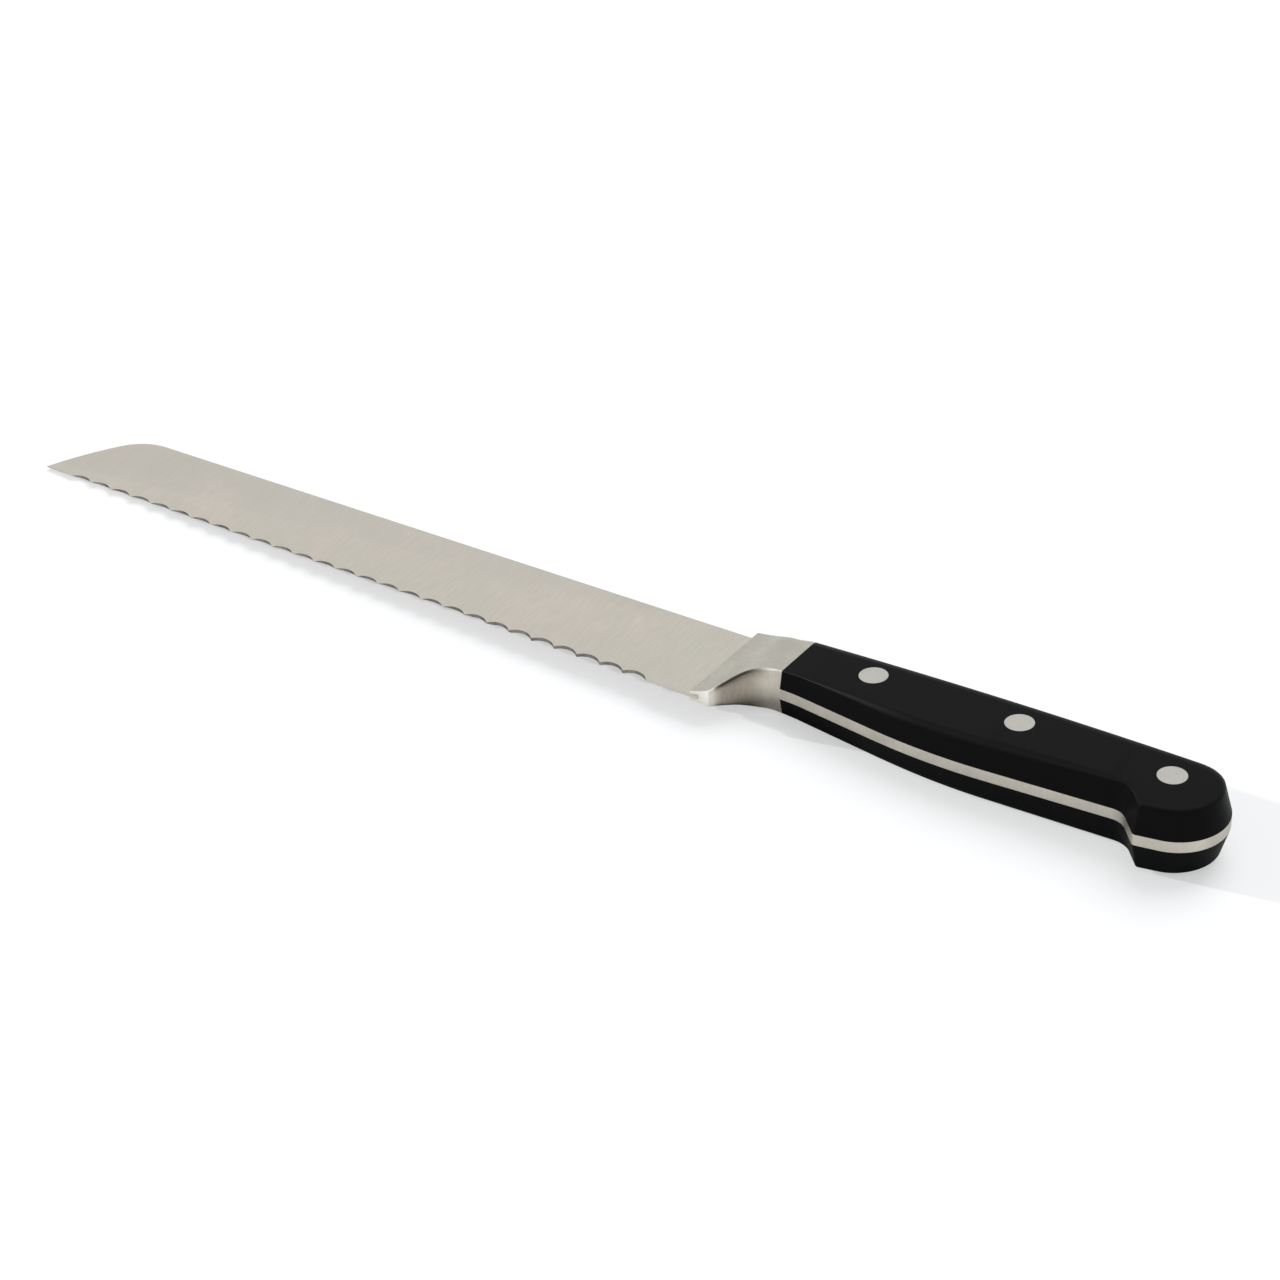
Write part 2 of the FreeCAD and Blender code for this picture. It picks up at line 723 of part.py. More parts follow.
def lay_down(bodies, forging, scale):
    """Lay the knife on its nose and its right scale, on the ground, with its box centred.

    The bow of the scale touches at its lowest place, which moves with the slope, so the slope is
    mended a few times by the height that is left between the two touching pieces.
    """
    radius = bow_radius()
    reach = SHEET.swell_place - blade_point().x
    drop = SHEET.swell_half - SHEET.edge_half
    slope = (reach - math.sqrt(reach**2 - 2 * radius * drop)) / radius
    for _ in range(LEAN_STEPS):
        place_all((forging, scale), FreeCAD.Placement(FreeCAD.Vector(), leaning(slope)))
        lows = [body.Shape.optimalBoundingBox(False).ZMin for body in (forging, scale)]
        slope += (lows[0] - lows[1]) / (reach - radius * slope)
    place_all(bodies, FreeCAD.Placement(FreeCAD.Vector(), leaning(slope)))
    box = FreeCAD.BoundBox()
    for body in bodies:
        box.add(body.Shape.optimalBoundingBox(False))
    shift = FreeCAD.Vector(-box.Center.x, -box.Center.y, -box.ZMin)
    place_all(bodies, FreeCAD.Placement(shift, leaning(slope)))


def check(bodies):
    """Stop if any object failed or any body isn't one sound solid."""
    for item in DOC.Objects:
        if "Invalid" in item.State or "Error" in item.State:
            raise RuntimeError(f"{item.Name} failed: {item.State}")
    for body in bodies:
        shape = body.Shape
        if shape.isNull() or not shape.isValid() or len(shape.Solids) != 1:
            raise RuntimeError(f"{body.Label} is not one sound solid")


def main():
    """Build every piece, lay the knife down and write one file for each."""
    forging = make_forging()
    left = make_scale("left_scale", 1)
    right = make_scale("right_scale", -1)
    bodies = [forging, left, right]
    for index in range(int(SHEET.rivet_count)):
        bodies.append(make_rivet_pin(index))
        bodies.append(make_rivet_sleeve(index))
    DOC.recompute()
    lay_down(bodies, forging, right)
    check(bodies)
    os.makedirs("parts", exist_ok=True)
    for body in bodies:
        body.Shape.exportStep(f"parts/{body.Label}.step")
        print(f"{body.Label}: {body.Shape.Volume:.1f} mm3")
    print(f"lean {math.degrees(bodies[0].Placement.Rotation.Angle):.3f} degrees")


LEAN_STEPS = 5
DOC = FreeCAD.newDocument("bread_knife")
SHEET = make_sheet(DOC)
main()
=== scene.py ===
"""Looks of a serrated bread knife that lies on its right side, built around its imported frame.

The knife's own frame is in millimetres: X runs from the point to the butt, with zero at the joint
between bolster and handle, Y from the teeth to the spine, and Z from the middle plane to the left side.
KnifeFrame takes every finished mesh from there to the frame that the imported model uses.
"""

import json
import logging
import math
from dataclasses import dataclass, field
from enum import Enum
from typing import Callable, Dict, List, Optional, Sequence, Tuple, Union

import bmesh
import bpy
from mathutils import Matrix, Vector


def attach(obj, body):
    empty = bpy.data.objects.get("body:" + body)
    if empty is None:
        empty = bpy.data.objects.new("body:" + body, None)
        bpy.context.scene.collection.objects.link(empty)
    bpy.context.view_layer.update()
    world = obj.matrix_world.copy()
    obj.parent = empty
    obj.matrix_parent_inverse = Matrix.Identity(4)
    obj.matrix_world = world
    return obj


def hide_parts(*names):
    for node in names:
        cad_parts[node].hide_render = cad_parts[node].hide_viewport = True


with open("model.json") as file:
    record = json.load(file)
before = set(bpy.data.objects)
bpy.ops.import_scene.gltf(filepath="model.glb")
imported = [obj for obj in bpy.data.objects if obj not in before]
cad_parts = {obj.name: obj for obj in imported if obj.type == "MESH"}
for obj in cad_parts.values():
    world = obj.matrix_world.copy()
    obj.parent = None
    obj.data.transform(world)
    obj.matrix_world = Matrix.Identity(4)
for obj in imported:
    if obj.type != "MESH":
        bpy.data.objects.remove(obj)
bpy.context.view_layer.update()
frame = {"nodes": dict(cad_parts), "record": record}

LOG = logging.getLogger("bread_knife")
MM = 0.001
UP = Vector((0.0, 0.0, 1.0))
SHARP_ANGLE = math.radians(32.0)
NEAR = 1e-4
# A face looks along an axis where more than this share of its normal does.
FACING = 0.3


# ------------------------------------------------------------------ the knife's place


@dataclass
class KnifeFrame:
    """Places the knife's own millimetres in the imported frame, by its two flank mounts."""

    flank_station: Vector = field(default_factory=lambda: Vector((-110.0, 13.0, 0.0)))

    def matrix(self) -> Matrix:
        """The matrix from the knife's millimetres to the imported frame's metres.

        Returns:
            A turn about Y, found from the flanks' normals, a scale and a shift.
        """
        mounts = {mount["name"]: mount for mount in frame["record"]["mounts"]}
        left, right = mounts["left_flank"], mounts["right_flank"]
        across = Vector(left["axis"]) - Vector(right["axis"])
        lean = math.atan2(-across.x, across.z)
        turn = Matrix.Rotation(-lean, 4, "Y") @ Matrix.Scale(MM, 4)
        middle = (Vector(left["pos_m"]) + Vector(right["pos_m"])) / 2
        return Matrix.Translation(middle - turn @ self.flank_station) @ turn


PLACE = KnifeFrame().matrix()


# ------------------------------------------------------------------ drawing outlines


def signed_turn(start: Vector, end: Vector) -> float:
    """The turn from one direction to another, in radians, anticlockwise if positive."""
    return math.atan2(start.x * end.y - start.y * end.x, start.dot(end))


def left_of(way: Vector) -> Vector:
    """The direction to the left of another in the XY plane."""
    return Vector((-way.y, way.x))


class Pencil:
    """Draws an outline in X and Y as a run of joined edges, one vertex after another."""

    def __init__(self, start: Vector) -> None:
        """Put the pencil down.

        Args:
            start: the first point of the outline.
        """
        self.bm = bmesh.new()
        self.tip = self.bm.verts.new((start.x, start.y, 0.0))

    def line_to(self, place: Vector, steps: int = 1) -> None:
        """Draw a straight line.

        Args:
            place: where the line ends.
            steps: how many edges it takes.
        """
        start = self.tip.co.copy()
        for step in range(1, steps + 1):
            made = bmesh.ops.extrude_vert_indiv(self.bm, verts=[self.tip])
            self.tip = made["verts"][0]
            self.tip.co = start.lerp(Vector((place.x, place.y, 0.0)), step / steps)

    def arc(self, centre: Vector, turn: float, steps: int) -> None:
        """Draw an arc from where the pencil is.

        Args:
            centre: the arc's centre.
            turn: how far it goes round, in radians, anticlockwise if positive.
            steps: how many edges it takes.
        """
        made = bmesh.ops.spin(self.bm, geom=[self.tip], cent=(centre.x, centre.y, 0.0), axis=UP,
                              angle=turn, steps=steps, use_duplicate=False)
        self.tip = next(item for item in made["geom_last"] if isinstance(item, bmesh.types.BMVert))

    def rounded(self, corners: Sequence[Tuple[Vector, float, int]], end: Vector) -> None:
        """Draw lines from corner to corner, with each corner rounded.

        Args:
            corners: for each corner, its place, its radius and how many edges its arc takes.
            end: where the last line ends.
        """
        places = [corner[0] for corner in corners] + [end]
        before = self.tip.co.to_2d()
        for (corner, radius, steps), after in zip(corners, places[1:]):
            into = (corner - before).normalized()
            out = (after - corner).normalized()
            turn = signed_turn(into, out)
            start = corner - into * radius * math.tan(abs(turn) / 2)
            side = left_of(into) * math.copysign(radius, turn)
            self.line_to(start)
            self.arc(start + side, turn, steps)
            before = corner
        self.line_to(end)

    def points(self) -> List[Vector]:
        """The outline's points, in the order in which they were drawn. The drawing is then freed."""
        places = [vert.co.to_2d() for vert in self.bm.verts]
        self.bm.free()
        return places


def crossing(place: Vector, along: Vector, other: Vector, other_along: Vector) -> Vector:
    """Where two lines of the XY plane cross.

    Args:
        place: a point of the one line.
        along: its direction.
        other: a point of the other line.
        other_along: its direction.

    Returns:
        The crossing.
    """
    gap = other - place
    run = gap.x * other_along.y - gap.y * other_along.x
    return place + along * run / (along.x * other_along.y - along.y * other_along.x)


def tangent_foot(place: Vector, centre: Vector, radius: float, side: int) -> Vector:
    """Where the tangent from a point touches a circle.

    Args:
        place: the point outside the circle.
        centre: the circle's centre.
        radius: the circle's radius.
        side: 1 or -1, for the one tangent or the other.

    Returns:
        The point of contact.
    """
    reach = centre - place
    heading = math.atan2(reach.y, reach.x) + side * math.asin(radius / reach.length)
    run = math.sqrt(reach.length_squared - radius**2)
    return place + Vector((math.cos(heading), math.sin(heading))) * run


def with_ways_inward(outline: Callable[[float], List[Vector]], inset: float) -> List[Tuple[Vector, Vector]]:
    """An outline's places, each with the way inward there.

    Args:
        outline: draws the outline, drawn in by as much as it is told.
        inset: how far to draw it in to find the ways.

    Returns:
        Pairs of a place and the way inward, for a step of one millimetre all round.
    """
    return [(foot, (inner - foot) / inset) for foot, inner in zip(outline(0.0), outline(inset))]


def ramp_between(value: float, start: float, end: float) -> float:
    """A smooth step from 0 at start to 1 at end."""
    share = min(max((value - start) / (end - start), 0.0), 1.0)
    return share * share * (3.0 - 2.0 * share)


# ------------------------------------------------------------------ meshes


def closed(bm: bmesh.types.BMesh) -> bmesh.types.BMesh:
    """Fill a mesh's open rims and turn its faces outward.

    Args:
        bm: the mesh.

    Returns:
        The same mesh.
    """
    loose = [edge for edge in bm.edges if edge.is_boundary]
    if loose:
        bmesh.ops.holes_fill(bm, edges=loose, sides=0)
    bmesh.ops.recalc_face_normals(bm, faces=bm.faces)
    return bm


def cut_along(bm: bmesh.types.BMesh, faces: Sequence[bmesh.types.BMFace], place: Vector, normal: Vector,
              reach: float) -> Dict[str, list]:
    """Cut some faces of a mesh along a plane.

    Args:
        bm: the mesh.
        faces: the faces to cut.
        place: a point of the plane.
        normal: the plane's normal.
        reach: how near to the plane a vertex counts as on it.

    Returns:
        What the cut made, as bmesh tells it.
    """
    geometry = dict.fromkeys(faces)
    for face in faces:
        geometry.update(dict.fromkeys([*face.edges, *face.verts]))
    return bmesh.ops.bisect_plane(bm, geom=list(geometry), dist=reach, plane_co=place, plane_no=normal)


def mirrored_below(bm: bmesh.types.BMesh) -> None:
    """Add the other half of a slab that stands on the middle plane, and weld the halves together.

    Args:
        bm: the slab, whose base goes.
    """
    base = [face for face in bm.faces if all(abs(vert.co.z) < NEAR / 10 for vert in face.verts)]
    bmesh.ops.delete(bm, geom=base, context="FACES_ONLY")
    geometry = list(bm.verts) + list(bm.edges) + list(bm.faces)
    bmesh.ops.mirror(bm, geom=geometry, matrix=Matrix.Identity(4), merge_dist=NEAR, axis="Z")
    bmesh.ops.remove_doubles(bm, verts=bm.verts, dist=NEAR)
    bmesh.ops.recalc_face_normals(bm, faces=bm.faces)


def to_object(name: str, bm: bmesh.types.BMesh) -> bpy.types.Object:
    """Put a mesh into the scene as an object.

    Args:
        name: the name of the object and its mesh.
        bm: the mesh, which is freed.

    Returns:
        The object.
    """
    mesh = bpy.data.meshes.new(name)
    bm.to_mesh(mesh)
    bm.free()
    item = bpy.data.objects.new(name, mesh)
    bpy.context.scene.collection.objects.link(item)
    return item


def finished(name: str, bm: bmesh.types.BMesh, *materials: bpy.types.Material) -> bpy.types.Object:
    """Make an object of a mesh drawn in the knife's frame, smooth but for its sharp edges.

    Args:
        name: the object's name.
        bm: the mesh, which is freed.
        materials: its finishes, in the order of its faces' material numbers.

    Returns:
        The object, at the origin, with its place in its mesh.
    """
    for face in bm.faces:
        face.smooth = True
    for edge in bm.edges:
        edge.smooth = edge.calc_face_angle(0.0) < SHARP_ANGLE
    bmesh.ops.transform(bm, matrix=PLACE, verts=bm.verts)
    piece = to_object(name, bm)
    for material in materials:
        piece.data.materials.append(material)
    LOG.info("%s: %d faces", name, len(piece.data.polygons))
    return piece


# ------------------------------------------------------------------ slabs with a rounded rim


@dataclass
class Station:
    """One place on a slab's outline, and the wall and the ridge there.

    A painted highlight brightens the ridge, a painted glint the wall and the ridge, and painted shade darkens
    the wall under the ridge.
    """

    foot: Vector
    inward: Vector
    slope: float
    radius: float
    painted_light: float = 0.0
    shade: float = 0.0
    glint: float = 0.0


@dataclass
class RimmedSlab:
    """A slab that rises from a flat base by sloping walls and a rounded ridge to a curved face."""

    base: float
    upright: float
    face: Callable[[float], float]
    ridge_steps: int = 6
    rest: float = 0.35
    probe: float = 0.5
    # How the painted highlight narrows round the ridge, and where the painted shade under it ends and how
    # fast it fades.
    painted_light_power: int = 3
    shade_end: float = 0.7
    shade_fall: float = 0.3
    shade_power: float = 1.5
    cut_reach: float = 0.0005

    def wall(self, station: Station, height: float) -> Vector:
        """The wall's point at a height."""
        foot = station.foot + station.inward * station.slope * max(height - self.upright, 0.0)
        return Vector((foot.x, foot.y, height))

    def corner(self, station: Station) -> Vector:
        """Where a station's wall would meet the face if the ridge were sharp."""
        height = self.face(station.foot.x)
        for _ in range(12):
            height = self.face(self.wall(station, height).x)
        return self.wall(station, height)

    def rim(self, station: Station) -> List[Vector]:
        """The points from the base up the wall and round the ridge to the face.

        Args:
            station: the place on the outline.

        Returns:
            As many points for each station as for any other.
        """
        corner = self.corner(station)
        rise = (corner - self.wall(station, corner.z - self.probe)).normalized()
        inner = corner.to_2d() + station.inward * self.probe
        level = (Vector((inner.x, inner.y, self.face(inner.x))) - corner).normalized()
        bend = rise.angle(level)
        setback = station.radius * math.tan(bend / 2)
        start = corner - rise * setback
        across = (level - rise * level.dot(rise)).normalized()
        centre = start + across * station.radius
        points = [self.wall(station, self.base)]
        if self.upright > self.base:
            points.append(self.wall(station, min(self.upright, (self.base + start.z) / 2)))
        for share in (0.5, 0.9):
            points.append(points[-1].lerp(start, share))
        for step in range(self.ridge_steps + 1):
            angle = bend * step / self.ridge_steps
            points.append(centre - across * station.radius * math.cos(angle)
                          + rise * station.radius * math.sin(angle))
        inner = points[-1].to_2d() + station.inward * self.rest
        points.append(Vector((inner.x, inner.y, self.face(inner.x))))
        return points

    def build(self, stations: Sequence[Station], cuts: Sequence[float]) -> bmesh.types.BMesh:
        """Raise the slab ring by ring, then cut its face across so that it can follow its curve.

        Args:
            stations: the outline's places, in order.
            cuts: the places along X where the face is cut across.

        Returns:
            The slab, closed.
        """
        bm = bmesh.new()
        number = bm.verts.layers.int.new("station")
        # Layers for the painted highlight and the painted shade at each vertex.
        for name in ("painted_light", "shade"):
            bm.verts.layers.float.new(name)
        rims = [self.rim(station) for station in stations]
        levels = len(rims[0])
        feet = [bm.verts.new(rim[0]) for rim in rims]
        for index, vert in enumerate(feet):
            vert[number] = index
            self.mark(bm, vert, stations[index], levels)
        face = bm.faces.new(feet)
        for level in range(1, levels):
            made = bmesh.ops.extrude_face_region(bm, geom=[face])["geom"]
            if level > 1:
                bmesh.ops.delete(bm, geom=[face], context="FACES_ONLY")
            face = next(item for item in made if isinstance(item, bmesh.types.BMFace))
            for vert in face.verts:
                vert.co = rims[vert[number]][level]
                self.mark(bm, vert, stations[vert[number]], levels - level)
        self.cut_face(bm, face, cuts)
        return closed(bm)

    def mark(self, bm: bmesh.types.BMesh, vert: bmesh.types.BMVert, station: Station, above: int) -> None:
        """Note how much painted highlight and painted shade the surface takes at a vertex.

        Args:
            bm: the slab.
            vert: the vertex.
            station: the place on the outline.
            above: how many rings there are from the vertex's own to the last, both counted.
        """
        painted_light, shade = bm.verts.layers.float["painted_light"], bm.verts.layers.float["shade"]
        below = max(above - self.ridge_steps - 2, 0)
        along_ridge = 1.0 - (above - 2) / self.ridge_steps
        on_ridge = 0.0 < along_ridge < 1.0
        vert[painted_light] = station.painted_light * math.sin(math.pi * along_ridge) ** self.painted_light_power if on_ridge else 0.0
        if along_ridge < 1.0:
            vert[painted_light] = max(vert[painted_light], station.glint)
        fade = max(1.0 - self.shade_fall * below**self.shade_power, 0.0)
        vert[shade] = station.shade * fade if along_ridge < self.shade_end else 0.0

    def cut_face(self, bm: bmesh.types.BMesh, face: bmesh.types.BMFace, cuts: Sequence[float]) -> None:
        """Cut the slab's face across at each place and lift the cuts onto the curve.

        Args:
            bm: the slab.
            face: its face.
            cuts: the places along X.
        """
        pieces = [face]
        for place in cuts:
            made = cut_along(bm, pieces, Vector((place, 0.0, 0.0)), Vector((1.0, 0.0, 0.0)), self.cut_reach)
            pieces = [item for item in made["geom"] if isinstance(item, bmesh.types.BMFace)]
            for item in made["geom_cut"]:
                if isinstance(item, bmesh.types.BMVert):
                    item.co.z = self.face(item.co.x)


# ------------------------------------------------------------------ handle


@dataclass
class Handle:
    """The two moulded scales and the tang between them, which share one outline.

    Each corner of the outline's lower side is its X, its Y and its radius.
    """

    grip_front: float = 11.3
    spine: float = 29.3
    length: float = 110.0
    pommel_radius: float = 12.3
    shoulder: Tuple[float, float, float] = (4.2, 11.17, 40.0)
    low: Tuple[float, float, float] = (40.5, 6.6, 145.0)
    hook_root: Tuple[float, float, float] = (88.4, 10.2, 5.0)
    hook_beak: Tuple[float, float, float] = (94.2, 3.8, 1.2)
    front_half: float = 5.85
    swell_half: float = 8.3
    swell_place: float = 93.0
    tang_half: float = 1.4
    wall_slope: float = 0.2105
    back_round: float = 4.0
    front_ridge: float = 0.3
    grip_ridge: float = 1.9
    hook_ridge: float = 0.9
    butt_lean: float = 1.35
    butt_turn: float = 0.45
    grip_ridge_run: Tuple[float, float] = (4.0, 34.0)
    hook_ridge_run: Tuple[float, float] = (74.0, 88.0)
    # Where the painted highlight along the ridge fades, and how much of it goes.
    painted_light_run: Tuple[float, float] = (8.0, 40.0)
    painted_light_loss: float = 0.8
    beak_run: float = 1.0
    least_radius: float = 0.15
    tang_ridge: float = 0.06
    slice_step: float = 2.5
    inset: float = 3.2

    def bow_radius(self) -> float:
        """Radius of the long arc of each side face."""
        rise = self.swell_half - self.front_half
        return (self.swell_place**2 + rise**2) / (2 * rise)

    def half(self, place: float) -> float:
        """Half thickness at a place along the handle."""
        radius = self.bow_radius()
        return self.swell_half - radius + math.sqrt(radius**2 - (place - self.swell_place) ** 2)

    def outline(self, inset: float) -> List[Vector]:
        """The side outline, drawn in by inset all round but at the bolster.

        Args:
            inset: how far it is drawn in.

        Returns:
            As many points for each inset as for any other.
        """
        centre = self.pommel_centre()
        beak = Vector(self.hook_beak[:2])
        chain = [Vector((0.0, self.grip_front)), Vector(self.shoulder[:2]), Vector(self.low[:2]),
                 Vector(self.hook_root[:2]), beak, tangent_foot(beak, centre, self.pommel_radius, -1)]
        headings = [(after - before).normalized() for before, after in zip(chain, chain[1:])]
        starts = [place + left_of(way) * inset for place, way in zip(chain, headings)]
        moved = [crossing(starts[0], headings[0], Vector((0.0, 0.0)), Vector((0.0, 1.0)))]
        for index in range(1, len(headings)):
            moved.append(crossing(starts[index - 1], headings[index - 1], starts[index], headings[index]))
        radii = (self.shoulder[2] + inset, self.low[2] - inset, self.hook_root[2] + inset,
                 max(self.hook_beak[2] - inset, self.least_radius))
        steps = (4, 14, 12, 6)
        radius = self.pommel_radius - inset
        foot = tangent_foot(moved[-1], centre, radius, -1)
        pencil = Pencil(moved[0])
        pencil.rounded(list(zip(moved[1:], radii, steps)), foot)
        reach = foot - centre
        pencil.arc(centre, math.pi / 2 - math.atan2(reach.y, reach.x), steps=44)
        pencil.line_to(Vector((0.0, self.spine - inset)), steps=36)
        return pencil.points()

    def pommel_centre(self) -> Vector:
        """The centre of the pommel's arc."""
        return Vector((self.length - self.pommel_radius, self.spine - self.pommel_radius))

    def ridge_radius(self, place: Vector, height: float) -> float:
        """Radius of the ridge between wall and side face.

        Args:
            place: where on the outline.
            height: 0 on the lower side and 1 at the back, or between them round the pommel.

        Returns:
            The radius in millimetres.
        """
        radius = self.front_ridge
        radius += (self.grip_ridge - self.front_ridge) * ramp_between(place.x, *self.grip_ridge_run)
        radius -= (self.grip_ridge - self.hook_ridge) * ramp_between(place.x, *self.hook_ridge_run)
        return radius + (self.back_round - radius) * height

    def stations(self) -> List[Station]:
        """The outline's places with their walls: sloping below and at the butt, upright at the back."""
        centre = self.pommel_centre()
        beak = self.hook_beak[0]
        stations = []
        for foot, inward in with_ways_inward(self.outline, self.inset):
            bearing = math.atan2(foot.y - centre.y, foot.x - centre.x)
            on_back = foot.y > self.spine - NEAR
            past_beak = ramp_between(foot.x, beak - self.beak_run, beak + self.beak_run)
            round_butt = foot.x > centre.x and bearing > 0
            height = 1.0 if on_back else math.sin(bearing) ** 3 if round_butt else 0.0
            share = 0.0 if on_back else 1.0
            if round_butt:
                share = self.butt_lean * (1.0 - ramp_between(bearing, self.butt_turn, math.pi / 2))
            elif not on_back and past_beak > 0.0:
                share = 1.0 + (self.butt_lean - 1.0) * ramp_between(foot.x, centre.x, self.length)
            # A painted highlight along the ridge: full at the front, fading along the grip, and gone past the
            # hook's beak.
            painted_light = (1.0 - self.painted_light_loss * ramp_between(foot.x, *self.painted_light_run)) * (1.0 - past_beak)
            radius = self.ridge_radius(foot, height)
            stations.append(Station(foot, inward, self.wall_slope * share, radius, painted_light))
        return stations

    def scale(self) -> bmesh.types.BMesh:
        """The left scale, without its rivet holes."""
        slab = RimmedSlab(self.tang_half, self.tang_half, self.half)
        count = int(self.length / self.slice_step)
        return slab.build(self.stations(), [self.slice_step * step for step in range(1, count)])

    def tang(self) -> bmesh.types.BMesh:
        """The tang, as wide as the scales."""
        stations = [Station(foot, inward, 0.0, self.tang_ridge)
                    for foot, inward in with_ways_inward(self.outline, self.inset)]
        slab = RimmedSlab(0.0, 0.0, lambda _: self.tang_half, ridge_steps=2, rest=0.05)
        bm = slab.build(stations, [])
        mirrored_below(bm)
        return bm


# ------------------------------------------------------------------ bolster


@dataclass
class Bolster:
    """The thick piece between blade and handle, with a ramp on each side and a hollow below.

    The ramp's knee and crest are their X, their height and the radius of the arc that ends there.
    """

    handle: Handle
    length: float = 17.2
    chin: Tuple[float, float] = (-12.6, 0.8)
    swoop_radius: float = 10.7
    step_half: float = 1.13
    knee: Tuple[float, float, float] = (-11.0, 3.15, 14.5)
    crest: Tuple[float, float, float] = (-5.4, 5.4, 13.0)
    heel_ridge: float = 0.25
    arch_ridge: float = 0.6
    back_crown: float = 0.7
    back_run: float = 8.2
    arch_start: Tuple[float, float] = (-14.6, -8.6)
    arch_end: float = 3.0
    # Where the painted highlights at the chin and the rear come in, and how strongly each is painted onto the
    # wall as glint.
    chin_run: Tuple[float, float] = (-12.3, -11.0)
    rear_run: Tuple[float, float] = (-7.5, -2.0)
    chin_glint: float = 0.75
    rear_glint: float = 0.3
    slice_step: float = 0.6
    inset: float = 2.0

    def ramp(self, place: float) -> float:
        """Half thickness at a place along the bolster: hollow, then round, then straight.

        Args:
            place: where along X.

        Returns:
            The height of the ramp above the middle plane.
        """
        if place <= self.knee[0]:
            return self.arc_height(Vector((-self.length, self.step_half)), Vector(self.knee[:2]),
                                   self.knee[2], 1, place)
        if place <= self.crest[0]:
            return self.arc_height(Vector(self.knee[:2]), Vector(self.crest[:2]), self.crest[2], -1, place)
        share = min((place - self.crest[0]) / -self.crest[0], 1.0)
        return self.crest[1] + (self.handle.front_half - self.crest[1]) * share

    @staticmethod
    def arc_height(start: Vector, end: Vector, radius: float, bend: int, place: float) -> float:
        """Height of an arc of a given radius between two points.

        Args:
            start: its lower end.
            end: its upper end.
            radius: its radius.
            bend: 1 for a hollow arc and -1 for a round one.
            place: where along X.

        Returns:
            The height there.
        """
        half = (end - start).length / 2
        way = (end - start).normalized()
        reach = math.sqrt(radius**2 - half**2)
        centre = (start + end) / 2 + left_of(way) * bend * reach
        offset = min(max(place, start.x), end.x) - centre.x
        return centre.y - bend * math.sqrt(radius**2 - offset**2)

    def outline(self, inset: float) -> List[Vector]:
        """The side outline, drawn in by inset below and at the back but not at the two ends.

        Args:
            inset: how far it is drawn in.

        Returns:
            As many points for each inset as for any other.
        """
        centre = Vector((0.0, self.handle.grip_front - self.swoop_radius))
        heel = Vector((-self.length, 0.0))
        chin = Vector(self.chin)
        foot = tangent_foot(chin, centre, self.swoop_radius, 1)
        ways = [(chin - heel).normalized(), (foot - chin).normalized()]
        starts = [place + left_of(way) * inset for place, way in zip((heel, chin), ways)]
        first = crossing(starts[0], ways[0], heel, Vector((0.0, 1.0)))
        turn = crossing(starts[0], ways[0], starts[1], ways[1])
        last = foot + left_of(ways[1]) * inset
        reach = last - centre
        top = self.handle.spine - inset
        pencil = Pencil(first)
        pencil.line_to(turn, steps=10)
        pencil.line_to(last, steps=6)
        pencil.arc(centre, math.pi / 2 - math.atan2(reach.y, reach.x), steps=28)
        pencil.line_to(Vector((0.0, top)))
        pencil.line_to(Vector((-self.length, top)), steps=28)
        return pencil.points()

    def ridge_radius(self, foot: Vector) -> float:
        """Radius of the ridge: small at the heel, larger over the arch, and full at the back.

        Args:
            foot: where on the outline.

        Returns:
            The radius in millimetres.
        """
        if foot.y > self.handle.spine - NEAR:
            upright = self.handle.front_half - self.handle.back_round
            upright *= 1.0 - self.back_crown * ramp_between(foot.x, 0.0, self.crest[0])
            full = max(self.ramp(foot.x) - upright, self.heel_ridge)
            share = ramp_between(foot.x, -self.length, self.back_run - self.length)
            return self.heel_ridge + (full - self.heel_ridge) * share
        swell = ramp_between(foot.x, *self.arch_start) * ramp_between(-foot.x, 0.0, self.arch_end)
        return self.heel_ridge + (self.arch_ridge - self.heel_ridge) * swell

    def build(self) -> bmesh.types.BMesh:
        """The whole bolster."""
        slab = RimmedSlab(0.0, self.handle.tang_half, self.ramp, ridge_steps=5, rest=0.2)
        slices = int(self.length / self.slice_step)
        bm = slab.build(self.stations(), [self.slice_step * step - self.length for step in range(1, slices)])
        mirrored_below(bm)
        # The hollow's walls behind the chin take the second finish, whose darker tint is painted shade.
        for face in bm.faces:
            hollow = face.normal.y < -FACING or face.normal.x > FACING
            behind_chin = self.chin[0] - NEAR < face.calc_center_median().x < -NEAR
            face.material_index = int(hollow and behind_chin and abs(face.normal.z) < FACING)
        return bm

    def stations(self) -> List[Station]:
        """The outline's places: painted highlights at the chin and the rear, and painted shade between them
        under the arch.
        """
        stations = []
        for foot, inward in with_ways_inward(self.outline, self.inset):
            below = 0.0 if foot.y > self.handle.spine - NEAR else 1.0
            past_chin = ramp_between(foot.x, *self.chin_run)
            rear = ramp_between(foot.x, *self.rear_run)
            before_chin = (1.0 - past_chin) * (1.0 + ramp_between(foot.x, -self.length, self.chin[0])) / 2
            # Painted highlights and glint at the chin and the rear, and painted shade under the arch's ridge
            # between them.
            painted_light = below * max(1.0 - past_chin, rear)
            shade = below * past_chin * (1.0 - rear)
            glint = below * max(self.chin_glint * before_chin, self.rear_glint * rear)
            slope = below * self.handle.wall_slope
            stations.append(Station(foot, inward, slope, self.ridge_radius(foot), painted_light, shade, glint))
        return stations


# ------------------------------------------------------------------ blade


